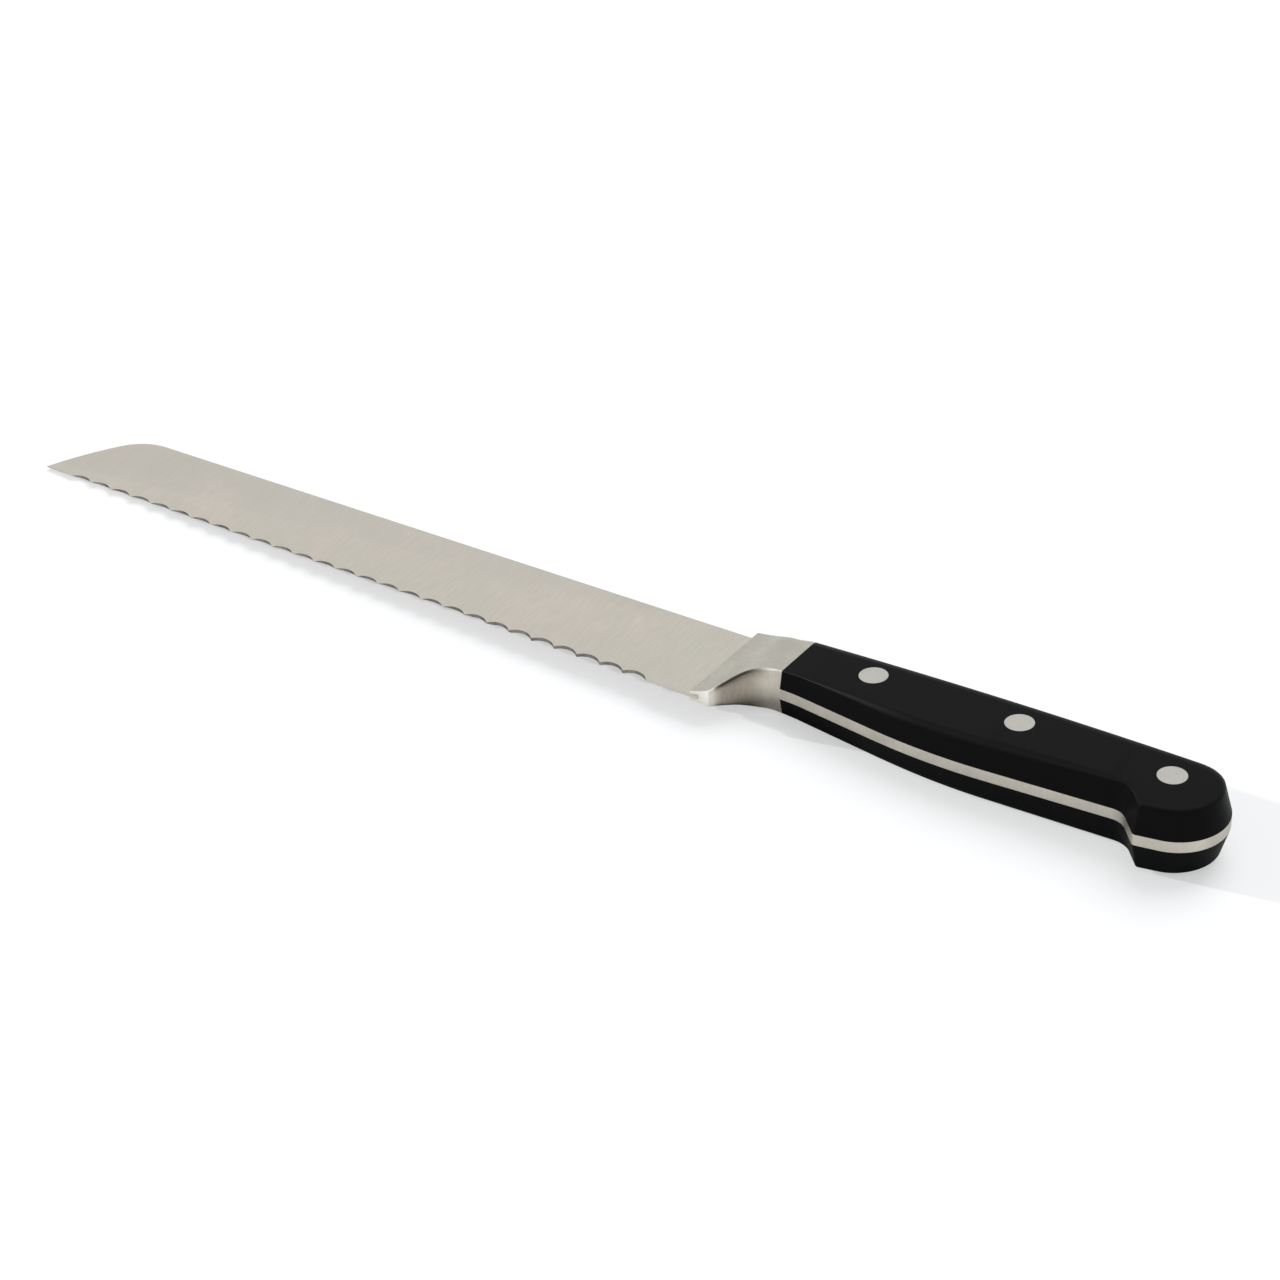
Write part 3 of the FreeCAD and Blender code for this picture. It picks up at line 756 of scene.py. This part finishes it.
@dataclass
class Blade:
    """The flat-ground blade with its scalloped edge, whose bevel is on the right side alone."""

    length: float = 200.0
    heel: float = -12.6
    bolster_front: float = -17.2
    point_rise: float = 0.3
    spine_rear: float = 26.6
    spine_fore: float = 22.75
    spine_half: float = 1.05
    spine_half_fore: float = 0.9
    edge_half: float = 0.42
    nose_angle: float = 66.8
    nose_radius: float = 90.0
    nose_corner_radius: float = 13.3
    tooth_pitch: float = 6.48
    tooth_count: int = 27
    tooth_depth: float = 1.4
    tooth_flat: float = 0.3
    first_tooth: float = 8.4
    bevel_height: float = 1.5
    bevel_land: float = 0.05
    bevel_run: float = 127.0
    bevel_fade: float = 24.0
    tuck: float = 2.0
    edge_round: float = 0.06
    margin: float = 0.1

    def point(self) -> Vector:
        """The blade's point."""
        return Vector((self.heel - self.length, self.point_rise))

    def teeth_end(self) -> float:
        """Where the last scallop ends along X."""
        return self.point().x + self.first_tooth + self.tooth_count * self.tooth_pitch

    def outline(self) -> List[Vector]:
        """The side outline, from the point along the teeth to the bolster and back by the spine."""
        point = self.point()
        pencil = Pencil(point)
        chord = self.tooth_pitch - self.tooth_flat
        radius = (chord**2 / 4 + self.tooth_depth**2) / (2 * self.tooth_depth)
        swing = 2 * math.asin(chord / 2 / radius)
        for tooth in range(self.tooth_count):
            start = point.x + self.first_tooth + tooth * self.tooth_pitch + self.tooth_flat / 2
            pencil.line_to(Vector((start, 0.0)))
            pencil.arc(Vector((start + chord / 2, self.tooth_depth - radius)), -swing, steps=12)
        along = Vector((self.bolster_front - point.x, self.spine_rear - self.spine_fore)).normalized()
        rear = Vector((self.bolster_front, self.spine_rear)) + along * self.tuck
        pencil.line_to(Vector((rear.x, 0.0)))
        pencil.line_to(rear)
        nose = math.radians(self.nose_angle)
        big, small = self.nose_radius, self.nose_corner_radius
        big_centre = point + Vector((math.sin(nose), -math.cos(nose))) * big
        normal = left_of(along)
        base = rear - normal * small
        gap = base - big_centre
        reach = gap.dot(along)
        run = -reach - math.sqrt(reach**2 - gap.length_squared + (big - small) ** 2)
        small_centre = base + along * run
        join = (small_centre - big_centre).normalized()
        pencil.line_to(small_centre + normal * small)
        pencil.arc(small_centre, signed_turn(normal, join), steps=18)
        pencil.arc(big_centre, signed_turn(join, (point - big_centre).normalized()), steps=16)
        return pencil.points()[:-1]

    def flank(self, x: float, y: float) -> float:
        """Half thickness of the flat grind.

        Args:
            x: where along the blade.
            y: how high above the teeth.

        Returns:
            How far the flank lies from the middle plane.
        """
        rise = (self.spine_half - self.edge_half) / self.spine_rear
        fore = self.edge_half + rise * self.spine_fore
        taper = (self.spine_half_fore - fore) / (self.point().x - self.bolster_front)
        return self.edge_half + taper * (x - self.bolster_front) + rise * y

    def bevel(self, x: float, y: float) -> float:
        """Height of the bevel's surface, which slopes up to the left side's edge.

        Args:
            x: where along the blade.
            y: how high above the teeth.

        Returns:
            The Z of the surface. It sinks away from the teeth where the bevel fades.
        """
        land = self.edge_half - self.bevel_land
        slope = (land + self.edge_half) / self.bevel_height
        run = x - self.point().x - self.bevel_run
        sunk = self.bevel_height * min(max(run / self.bevel_fade, 0.0), 1.0)
        return land - slope * (y + sunk)

    def crest(self, x: float) -> float:
        """How high the bevel reaches up the right side.

        Args:
            x: where along the blade.

        Returns:
            The Y where its surface meets the flank's. The gap between the two changes evenly with Y.
        """
        gap, gap_above = (self.bevel(x, y) + self.flank(x, y) for y in (0.0, 1.0))
        return gap / (gap - gap_above)

    def build(self) -> bmesh.types.BMesh:
        """The whole blade."""
        bm = bmesh.new()
        left = bm.faces.new([bm.verts.new((place.x, place.y, 1.0)) for place in self.outline()])
        made = bmesh.ops.extrude_face_region(bm, geom=[left])["geom"]
        right = next(item for item in made if isinstance(item, bmesh.types.BMFace))
        bmesh.ops.translate(bm, vec=(0.0, 0.0, -2.0), verts=list(right.verts))
        fade = self.point().x + self.bevel_run
        self.cut_crest(bm, self.point().x, fade)
        self.cut_crest(bm, fade, fade + self.bevel_fade)
        for vert in bm.verts:
            x, y = vert.co.x, vert.co.y
            vert.co.z = self.flank(x, y) if vert.co.z > 0 else max(-self.flank(x, y), self.bevel(x, y))
        closed(bm)
        self.round_back(bm)
        # The scallop walls take the second finish, darkened as a painted reflection.
        for face in bm.faces:
            middle = face.calc_center_median()
            toothed = middle.y < self.tooth_depth + self.margin and middle.x < self.teeth_end()
            face.material_index = int(toothed and face.normal.y < -FACING and abs(face.normal.z) < FACING)
        return bm

    def cut_crest(self, bm: bmesh.types.BMesh, start: float, end: float) -> None:
        """Cut the right side along the bevel's upper limit, between two places.

        Args:
            bm: the blade, as yet a flat plate.
            start: where the stretch starts along X.
            end: where it ends.
        """
        first = Vector((start, self.crest(start), 0.0))
        last = Vector((end, self.crest(end), 0.0))
        along = (last - first).normalized()
        for place, normal in ((last, Vector((1.0, 0.0, 0.0))), (first, left_of(along).to_3d())):
            faces = [face for face in bm.faces if self.on_right(face) and self.overlaps(face, start, end)]
            cut_along(bm, faces, place, normal, NEAR / 10)

    @staticmethod
    def on_right(face: bmesh.types.BMFace) -> bool:
        """Whether a face lies on the right side."""
        return all(vert.co.z < 0 for vert in face.verts)

    def overlaps(self, face: bmesh.types.BMFace, start: float, end: float) -> bool:
        """Whether a face reaches into a stretch along X by more than the margin."""
        places = [vert.co.x for vert in face.verts]
        return min(places) < end - self.margin and max(places) > start + self.margin

    def round_back(self, bm: bmesh.types.BMesh) -> None:
        """Take the sharp corners off the spine and the nose.

        Args:
            bm: the blade.
        """
        edges = []
        for edge in bm.edges:
            one, two = edge.verts
            flat = one.co.z * two.co.z > 0
            above = min(one.co.y, two.co.y) > self.tooth_depth + 4 * self.margin
            inside = min(one.co.x, two.co.x) < self.bolster_front - NEAR
            if flat and above and inside and edge.calc_face_angle(0.0) > SHARP_ANGLE:
                edges.append(edge)
        bmesh.ops.bevel(bm, geom=edges, offset=self.edge_round, offset_type="OFFSET", segments=2,
                        profile=0.5, affect="EDGES", material=-1, clamp_overlap=True)


# ------------------------------------------------------------------ finishes


class Slot(Enum):
    """The record's material slots."""

    BLADE = "blade_steel"
    HANDLE = "handle_plastic"
    RIVET = "rivet_steel"


# The numbers of a Mix node's two colours and of its mixed colour, whose names it uses more than once.
MIX_A, MIX_B, MIX_RESULT = 6, 7, 2
WHITE = (1.0, 1.0, 1.0, 1.0)


class Sheet:
    """A node tree with a short way to add nodes and feed their inputs."""

    def __init__(self, tree: bpy.types.NodeTree) -> None:
        """Start on an empty tree.

        Args:
            tree: the tree of a material, a world or a group.
        """
        self.tree = tree
        tree.nodes.clear()

    def add(self, kind: str, inputs: Optional[Dict[Union[str, int], object]] = None,
            **settings: object) -> bpy.types.Node:
        """Add a node.

        Args:
            kind: the node's type, without its ShaderNode prefix.
            inputs: for each input, by its name or number, a value or the output that feeds it.
            settings: values of the node's properties.

        Returns:
            The node.
        """
        prefix = "" if kind.startswith("NodeGroup") else "ShaderNode"
        node = self.tree.nodes.new(prefix + kind)
        for key, value in settings.items():
            setattr(node, key, value)
        for key, value in (inputs or {}).items():
            if isinstance(value, bpy.types.NodeSocket):
                self.tree.links.new(value, node.inputs[key])
            else:
                node.inputs[key].default_value = value
        return node


def new_group(name: str, inputs: Dict[str, Tuple[str, object]], outputs: Dict[str, str]) -> Sheet:
    """Make an empty shader group with its sockets.

    Args:
        name: the group's name.
        inputs: for each input, its socket type and its default, or None.
        outputs: for each output, its socket type.

    Returns:
        A sheet on the group's tree.
    """
    tree = bpy.data.node_groups.new(name, "ShaderNodeTree")
    for label, (kind, default) in inputs.items():
        socket = tree.interface.new_socket(label, in_out="INPUT", socket_type=kind)
        if default is not None:
            socket.default_value = default
    for label, kind in outputs.items():
        tree.interface.new_socket(label, in_out="OUTPUT", socket_type=kind)
    return Sheet(tree)


def brushing_group() -> bpy.types.NodeTree:
    """Fine parallel lines, as a belt leaves them, that come and go along their length."""
    sheet = new_group(
        "fine_brushing",
        {"Vector": ("NodeSocketVector", None), "Lines": ("NodeSocketVector", (9000.0, 300.0, 9000.0)),
         "Patches": ("NodeSocketFloat", 120.0)},
        {"Height": "NodeSocketFloat", "Mask": "NodeSocketFloat"})
    given = sheet.add("NodeGroupInput").outputs
    stretch = sheet.add("VectorMath", {0: given["Vector"], 1: given["Lines"]}, operation="MULTIPLY")
    lines = sheet.add("TexNoise", {"Vector": stretch.outputs["Vector"], "Scale": 1.0, "Detail": 3.0,
                                   "Roughness": 0.6})
    patches = sheet.add("TexNoise", {"Vector": given["Vector"], "Scale": given["Patches"], "Detail": 2.0,
                                     "Roughness": 0.5})
    blend = sheet.add("Math", {0: lines.outputs["Fac"], 1: patches.outputs["Fac"]}, operation="MULTIPLY")
    sheet.add("NodeGroupOutput", {"Height": lines.outputs["Fac"], "Mask": blend.outputs["Value"]})
    return sheet.tree


def mottling_group() -> bpy.types.NodeTree:
    """Soft cloudy patches that drift between two tints."""
    sheet = new_group(
        "soft_mottling",
        {"Vector": ("NodeSocketVector", None), "Scale": ("NodeSocketFloat", 90.0),
         "Contrast": ("NodeSocketFloat", 2.0), "Warm": ("NodeSocketColor", None),
         "Cool": ("NodeSocketColor", None)},
        {"Color": "NodeSocketColor"})
    given = sheet.add("NodeGroupInput").outputs
    cloud = sheet.add("TexNoise", {"Vector": given["Vector"], "Scale": given["Scale"], "Detail": 3.0,
                                   "Roughness": 0.55})
    middle = sheet.add("Math", {0: cloud.outputs["Fac"], 1: 0.5}, operation="SUBTRACT")
    spread = sheet.add("Math", {0: middle.outputs["Value"], 1: given["Contrast"], 2: 0.5},
                       operation="MULTIPLY_ADD", use_clamp=True)
    tint = sheet.add("Mix", {"Factor": spread.outputs["Value"], MIX_A: given["Warm"], MIX_B: given["Cool"]},
                     data_type="RGBA")
    sheet.add("NodeGroupOutput", {"Color": tint.outputs[MIX_RESULT]})
    return sheet.tree


def painted_light_group() -> bpy.types.NodeTree:
    """Painted highlights on ridges and bands of painted shade under them, where the mesh's own attributes put
    them.
    """
    sheet = new_group(
        "painted_ridge_light",
        {"Color": ("NodeSocketColor", None), "Highlight": ("NodeSocketColor", None),
         "Shaded": ("NodeSocketColor", None)},
        {"Color": "NodeSocketColor"})
    given = sheet.add("NodeGroupInput").outputs
    color = given["Color"]
    for attribute, tint in (("painted_light", "Highlight"), ("shade", "Shaded")):
        mark = sheet.add("Attribute", attribute_name=attribute)
        mix = sheet.add("Mix", {"Factor": mark.outputs["Fac"], MIX_A: color, MIX_B: given[tint]},
                        data_type="RGBA")
        color = mix.outputs[MIX_RESULT]
    sheet.add("NodeGroupOutput", {"Color": color})
    return sheet.tree


@dataclass(frozen=True)
class Groups:
    """The node groups that the finishes share."""

    brushing: bpy.types.NodeTree
    mottling: bpy.types.NodeTree
    painted_light: bpy.types.NodeTree


LINE_DEPTH = 0.00002
MASK_RANGE = (0.1, 0.45)
LINES_RANGE = (0.3, 0.7)


@dataclass(frozen=True)
class Finish:
    """A satin surface: two tints that drift into each other, fine lines, and its gloss."""

    name: str
    slot: Slot
    warm: Tuple[float, float, float]
    cool: Tuple[float, float, float]
    roughness: float
    lines: Tuple[float, float, float]
    patch_scale: float
    contrast: float
    grain: float
    relief: float = 0.4
    roughness_spread: float = 0.05
    metallic: float = 1.0
    specular: float = 0.5
    # Tints for the painted highlight on ridges and for the painted shade under them.
    painted_light_tint: Tuple[float, float, float] = (0.6, 0.58, 0.54)
    shaded: Tuple[float, float, float] = (0.06, 0.055, 0.045)

    def material(self, groups: Groups) -> bpy.types.Material:
        """Build the material.

        Args:
            groups: the shared node groups.

        Returns:
            The material.
        """
        material = bpy.data.materials.new(self.name)
        material.use_nodes = True
        sheet = Sheet(material.node_tree)
        place = sheet.add("TexCoord").outputs["Object"]
        brushing = sheet.add("Group", {"Vector": place, "Lines": self.lines, "Patches": self.patch_scale},
                             node_tree=groups.brushing)
        mottling = sheet.add("Group", {"Vector": place, "Scale": self.patch_scale, "Contrast": self.contrast,
                                       "Warm": (*self.warm, 1.0), "Cool": (*self.cool, 1.0)},
                             node_tree=groups.mottling)
        lines, mask = brushing.outputs["Height"], brushing.outputs["Mask"]
        gloss = self.spread(sheet, mask, MASK_RANGE, self.roughness, self.roughness_spread)
        streaks = self.spread(sheet, lines, LINES_RANGE, 1.0, self.grain)
        grained = sheet.add("VectorMath", {0: mottling.outputs["Color"], "Scale": streaks}, operation="SCALE")
        bump = sheet.add("Bump", {"Height": lines, "Strength": self.relief, "Distance": LINE_DEPTH})
        # Mix in the painted highlight and the painted shade where the mesh's attributes put them.
        painted_light_tint = sheet.add("Group", {"Color": grained.outputs["Vector"], "Highlight": (*self.painted_light_tint, 1.0),
                                   "Shaded": (*self.shaded, 1.0)}, node_tree=groups.painted_light)
        shader = sheet.add("BsdfPrincipled", {
            "Base Color": painted_light_tint.outputs["Color"], "Metallic": self.metallic, "Roughness": gloss,
            "Specular IOR Level": self.specular, "Normal": bump.outputs["Normal"]})
        sheet.add("OutputMaterial", {"Surface": shader.outputs["BSDF"]})
        return material

    @staticmethod
    def spread(sheet: Sheet, pattern: bpy.types.NodeSocket, reach: Tuple[float, float], middle: float,
               swing: float) -> bpy.types.NodeSocket:
        """Turn a pattern into values that lie evenly around a middle value.

        Args:
            sheet: the material's sheet.
            pattern: the pattern.
            reach: its usual least and greatest value.
            middle: the middle value.
            swing: how far the values go from it.

        Returns:
            The values' socket.
        """
        return sheet.add("MapRange", {"Value": pattern, "From Min": reach[0], "From Max": reach[1],
                                      "To Min": middle - swing, "To Max": middle + swing}).outputs["Result"]


BLADE_FINISH = Finish(
    "blade_satin", Slot.BLADE, warm=(0.570, 0.521, 0.460), cool=(0.535, 0.517, 0.456), roughness=0.34,
    lines=(3200.0, 160.0, 3200.0), patch_scale=70.0, contrast=2.2, grain=0.07)
# The scallop walls' dark tints are a painted reflection of the shadowed floor under the blade; the ground
# bevel itself is real.
EDGE_FINISH = Finish(
    "ground_edge", Slot.BLADE, warm=(0.260, 0.245, 0.220), cool=(0.150, 0.142, 0.128), roughness=0.42,
    lines=(2600.0, 2600.0, 600.0), patch_scale=500.0, contrast=3.0, grain=0.10)
# Its pale ridge tint is the painted highlight at the chin and the rear of the arch.
BOLSTER_FINISH = Finish(
    "bolster_satin", Slot.BLADE, warm=(0.500, 0.480, 0.422), cool=(0.462, 0.452, 0.400), roughness=0.50,
    lines=(900.0, 900.0, 400.0), patch_scale=150.0, contrast=3.0, grain=0.07, relief=0.5,
    painted_light_tint=(0.96, 0.93, 0.86))
# The hollow's darker, browner tints are painted shade for the dark surroundings that it mirrors; its brushing
# is its own, and its pale ridge tint is a painted highlight.
HOLLOW_FINISH = Finish(
    "hollow_brushed", Slot.BLADE, warm=(0.400, 0.355, 0.290), cool=(0.330, 0.300, 0.248), roughness=0.42,
    lines=(2200.0, 2200.0, 260.0), patch_scale=300.0, contrast=2.4, grain=0.10, relief=0.5,
    painted_light_tint=(0.84, 0.81, 0.74))
TANG_FINISH = Finish(
    "tang_satin", Slot.BLADE, warm=(0.560, 0.520, 0.450), cool=(0.480, 0.455, 0.395), roughness=0.38,
    lines=(1800.0, 1800.0, 500.0), patch_scale=120.0, contrast=3.0, grain=0.05, relief=0.3,
    roughness_spread=0.06)
RIVET_FINISH = Finish(
    "rivet_satin", Slot.RIVET, warm=(0.530, 0.515, 0.470), cool=(0.500, 0.495, 0.460), roughness=0.40,
    lines=(1500.0, 3200.0, 3200.0), patch_scale=400.0, contrast=1.6, grain=0.05, relief=0.3,
    roughness_spread=0.04)
# Its pale ridge tint is a painted highlight along the black plastic's front ridge.
HANDLE_FINISH = Finish(
    "handle_black", Slot.HANDLE, warm=(0.0042, 0.0043, 0.0042), cool=(0.0052, 0.0054, 0.0056), roughness=0.46,
    lines=(2500.0, 2500.0, 2500.0), patch_scale=160.0, contrast=2.0, grain=0.10, relief=0.25,
    metallic=0.0, specular=0.034, painted_light_tint=(0.060, 0.055, 0.050))


# ------------------------------------------------------------------ assembly


@dataclass
class Rivets:
    """The holes that the flush rivets need in the visible scales."""

    handle: Handle
    count: int = 3
    first: float = 19.3
    spacing: float = 38.1
    rise: float = 20.6
    fall: float = 0.7
    head_radius: float = 3.4
    head_depth: float = 2.4
    sleeve_radius: float = 2.2
    hairline: float = 0.02
    overrun: float = 3.0

    def cutter(self) -> bpy.types.Object:
        """A stepped post for each rivet's head and sleeve, spun from its profile."""
        bm = bmesh.new()
        for index in range(self.count):
            x = self.first + index * self.spacing
            y = self.rise - index * self.fall
            seat = self.handle.half(x) - self.head_depth
            top = seat + self.head_depth + self.overrun
            wide = self.head_radius + self.hairline
            steps = ((0.0, -self.overrun), (self.sleeve_radius, -self.overrun), (self.sleeve_radius, seat),
                     (wide, seat), (wide, top), (0.0, top))
            verts = [bm.verts.new((x + radius, y, height)) for radius, height in steps]
            edges = [bm.edges.new(pair) for pair in zip(verts, verts[1:])]
            bmesh.ops.spin(bm, geom=verts + edges, cent=(x, y, 0.0), axis=UP, angle=math.tau, steps=72,
                           use_merge=True, use_duplicate=False)
        bmesh.ops.remove_doubles(bm, verts=bm.verts, dist=NEAR)
        bmesh.ops.recalc_face_normals(bm, faces=bm.faces)
        return to_object("rivet_posts", bm)

    def bored(self, bm: bmesh.types.BMesh) -> bmesh.types.BMesh:
        """Cut the rivet holes out of a left scale.

        Args:
            bm: the scale, which is freed.

        Returns:
            The scale with its holes.
        """
        blank = to_object("scale_blank", bm)
        posts = self.cutter()
        cut = blank.modifiers.new("holes", "BOOLEAN")
        cut.operation = "DIFFERENCE"
        cut.solver = "EXACT"
        cut.object = posts
        result = bmesh.new()
        result.from_object(blank, bpy.context.evaluated_depsgraph_get())
        for item in (blank, posts):
            data = item.data
            bpy.data.objects.remove(item)
            bpy.data.meshes.remove(data)
        return result


@dataclass
class BreadKnife:
    """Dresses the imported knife: new blade, bolster, tang and scales, and finishes for the rivets."""

    handle: Handle = field(default_factory=Handle)
    blade: Blade = field(default_factory=Blade)

    def build(self) -> None:
        """Make every piece, fix it to the body and hide the node that it stands for."""
        groups = Groups(brushing_group(), mottling_group(), painted_light_group())
        steel = BLADE_FINISH.material(groups)
        plastic = HANDLE_FINISH.material(groups)
        forged = (
            finished("blade", self.blade.build(), steel, EDGE_FINISH.material(groups)),
            finished("bolster", Bolster(self.handle).build(), BOLSTER_FINISH.material(groups),
                     HOLLOW_FINISH.material(groups)),
            finished("tang", self.handle.tang(), TANG_FINISH.material(groups)),
        )
        for piece in forged:
            self.fix(piece, Slot.BLADE, "blade_forging")
        rivets = Rivets(self.handle)
        left = rivets.bored(self.handle.scale())
        right = left.copy()
        bmesh.ops.scale(right, vec=(1.0, 1.0, -1.0), verts=right.verts)
        bmesh.ops.reverse_faces(right, faces=right.faces)
        self.fix(finished("left_handle_scale", left, plastic), Slot.HANDLE, "left_scale")
        self.fix(finished("right_handle_scale", right, plastic), Slot.HANDLE, "right_scale")
        rivet_steel = RIVET_FINISH.material(groups)
        for name, node in frame["nodes"].items():
            if name.startswith("rivet_"):
                node.data.materials.clear()
                node.data.materials.append(rivet_steel)

    @staticmethod
    def fix(piece: bpy.types.Object, slot: Slot, node: str) -> None:
        """Fix a piece to the one body, in the place of a node.

        Args:
            piece: the piece.
            slot: the record's slot for its finish; not used.
            node: the node that it stands for.
        """
        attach(piece, "root")
        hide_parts(node)


# ------------------------------------------------------------------ studio


def toward(bearing: float, height: float) -> Vector:
    """The direction to a bearing, anticlockwise from +X, and a height above the floor, in degrees."""
    turn, rise = math.radians(bearing), math.radians(height)
    return Vector((math.cos(turn) * math.cos(rise), math.sin(turn) * math.cos(rise), math.sin(rise)))


@dataclass
class Studio:
    """A pale floor, soft light from behind and above, a low lamp for the floor, and the camera."""

    floor_size: float = 14.0
    floor_color: Tuple[float, float, float] = (0.84, 0.85, 0.86)
    floor_glow: float = 0.5
    world_light: Tuple[float, float, float] = (0.96, 0.98, 1.0)
    world_strength: float = 0.45
    soft_strength: float = 2.27
    soft_bearing: float = 100.0
    soft_height: float = 52.0
    soft_spread: float = 50.0
    low_strength: float = 4.0
    low_bearing: float = 195.0
    low_height: float = 12.0
    low_spread: float = 1.2
    azimuth: float = 33.84
    elevation: float = 33.74
    roll: float = 0.14
    distance: float = 0.8755
    aim: Tuple[float, float, float] = (-39.87, 13.29, 0.0)
    lens: float = 105.13

    def build(self) -> None:
        """Set the floor, the light and the camera."""
        floor = self.floor()
        self.world()
        self.lamps(floor)
        self.camera()
        bpy.context.scene.view_settings.view_transform = "Standard"

    def floor(self) -> bpy.types.Object:
        """The floor, which the knife lies on."""
        bm = bmesh.new()
        bmesh.ops.create_grid(bm, x_segments=1, y_segments=1, size=self.floor_size / 2)
        floor = to_object("floor", bm)
        material = bpy.data.materials.new("floor_pale")
        material.use_nodes = True
        sheet = Sheet(material.node_tree)
        shader = sheet.add("BsdfPrincipled", {"Base Color": (*self.floor_color, 1.0), "Roughness": 0.9,
                                              "Specular IOR Level": 0.0})
        glow = sheet.add("Emission", {"Color": WHITE, "Strength": 1.0})
        rays = sheet.add("LightPath").outputs
        share = sheet.add("Math", {0: rays["Is Camera Ray"], 1: self.floor_glow}, operation="MULTIPLY")
        mix = sheet.add("MixShader", {0: share.outputs["Value"], 1: shader.outputs["BSDF"],
                                      2: glow.outputs["Emission"]})
        sheet.add("OutputMaterial", {"Surface": mix.outputs["Shader"]})
        floor.data.materials.append(material)
        return floor

    def world(self) -> None:
        """An even pale room, which metal also mirrors."""
        world = bpy.data.worlds.new("studio")
        bpy.context.scene.world = world
        world.use_nodes = True
        sheet = Sheet(world.node_tree)
        room = sheet.add("Background", {"Color": (*self.world_light, 1.0), "Strength": self.world_strength})
        shown = sheet.add("Background", {"Color": WHITE, "Strength": 1.0})
        rays = sheet.add("LightPath").outputs
        either = sheet.add("Math", {0: rays["Is Camera Ray"], 1: rays["Is Glossy Ray"]}, operation="MAXIMUM")
        mix = sheet.add("MixShader", {0: either.outputs["Value"], 1: room.outputs["Background"],
                                      2: shown.outputs["Background"]})
        sheet.add("OutputWorld", {"Surface": mix.outputs["Shader"]})

    def lamps(self, floor: bpy.types.Object) -> None:
        """A broad soft lamp behind the knife, and a hard one low beyond its point.

        Args:
            floor: the one thing that the hard lamp lights, with the knife's long faint shadow on it.
        """
        self.lamp("soft_lamp", self.soft_strength, self.soft_bearing, self.soft_height, self.soft_spread)
        low = self.lamp("low_lamp", self.low_strength, self.low_bearing, self.low_height, self.low_spread)
        lit = bpy.data.collections.new("lit_by_low_lamp")
        lit.objects.link(floor)
        low.light_linking.receiver_collection = lit

    @staticmethod
    def lamp(name: str, strength: float, bearing: float, height: float, spread: float) -> bpy.types.Object:
        """Hang a distant lamp that no surface mirrors.

        Args:
            name: its name.
            strength: its light on a surface that faces it.
            bearing: where it stands, in degrees anticlockwise from +X.
            height: how high it stands, in degrees above the floor.
            spread: how wide it looks, in degrees.

        Returns:
            The lamp's object.
        """
        data = bpy.data.lights.new(name, "SUN")
        data.energy = strength
        data.angle = math.radians(spread)
        way = toward(bearing, height)
        holder = bpy.data.objects.new(name, data)
        holder.location = way
        holder.rotation_euler = way.to_track_quat("Z", "Y").to_euler()
        holder.visible_glossy = False
        bpy.context.scene.collection.objects.link(holder)
        return holder

    def camera(self) -> None:
        """The camera, at its angle above the floor."""
        back = toward(self.azimuth - 90.0, self.elevation)
        data = bpy.data.cameras.new("camera")
        data.sensor_width = 36.0
        data.lens = self.lens
        data.clip_start = 0.01
        camera = bpy.data.objects.new("camera", data)
        place = Matrix.Translation(PLACE @ Vector(self.aim) + back * self.distance)
        turn = back.to_track_quat("Z", "Y").to_matrix().to_4x4()
        camera.matrix_world = place @ turn @ Matrix.Rotation(math.radians(self.roll), 4, "Z")
        bpy.context.scene.collection.objects.link(camera)
        bpy.context.scene.camera = camera


def main() -> None:
    """Build the studio and the knife."""
    logging.basicConfig(level=logging.INFO, format="%(name)s: %(message)s")
    Studio().build()
    BreadKnife().build()


if __name__ == "__main__":
    main()
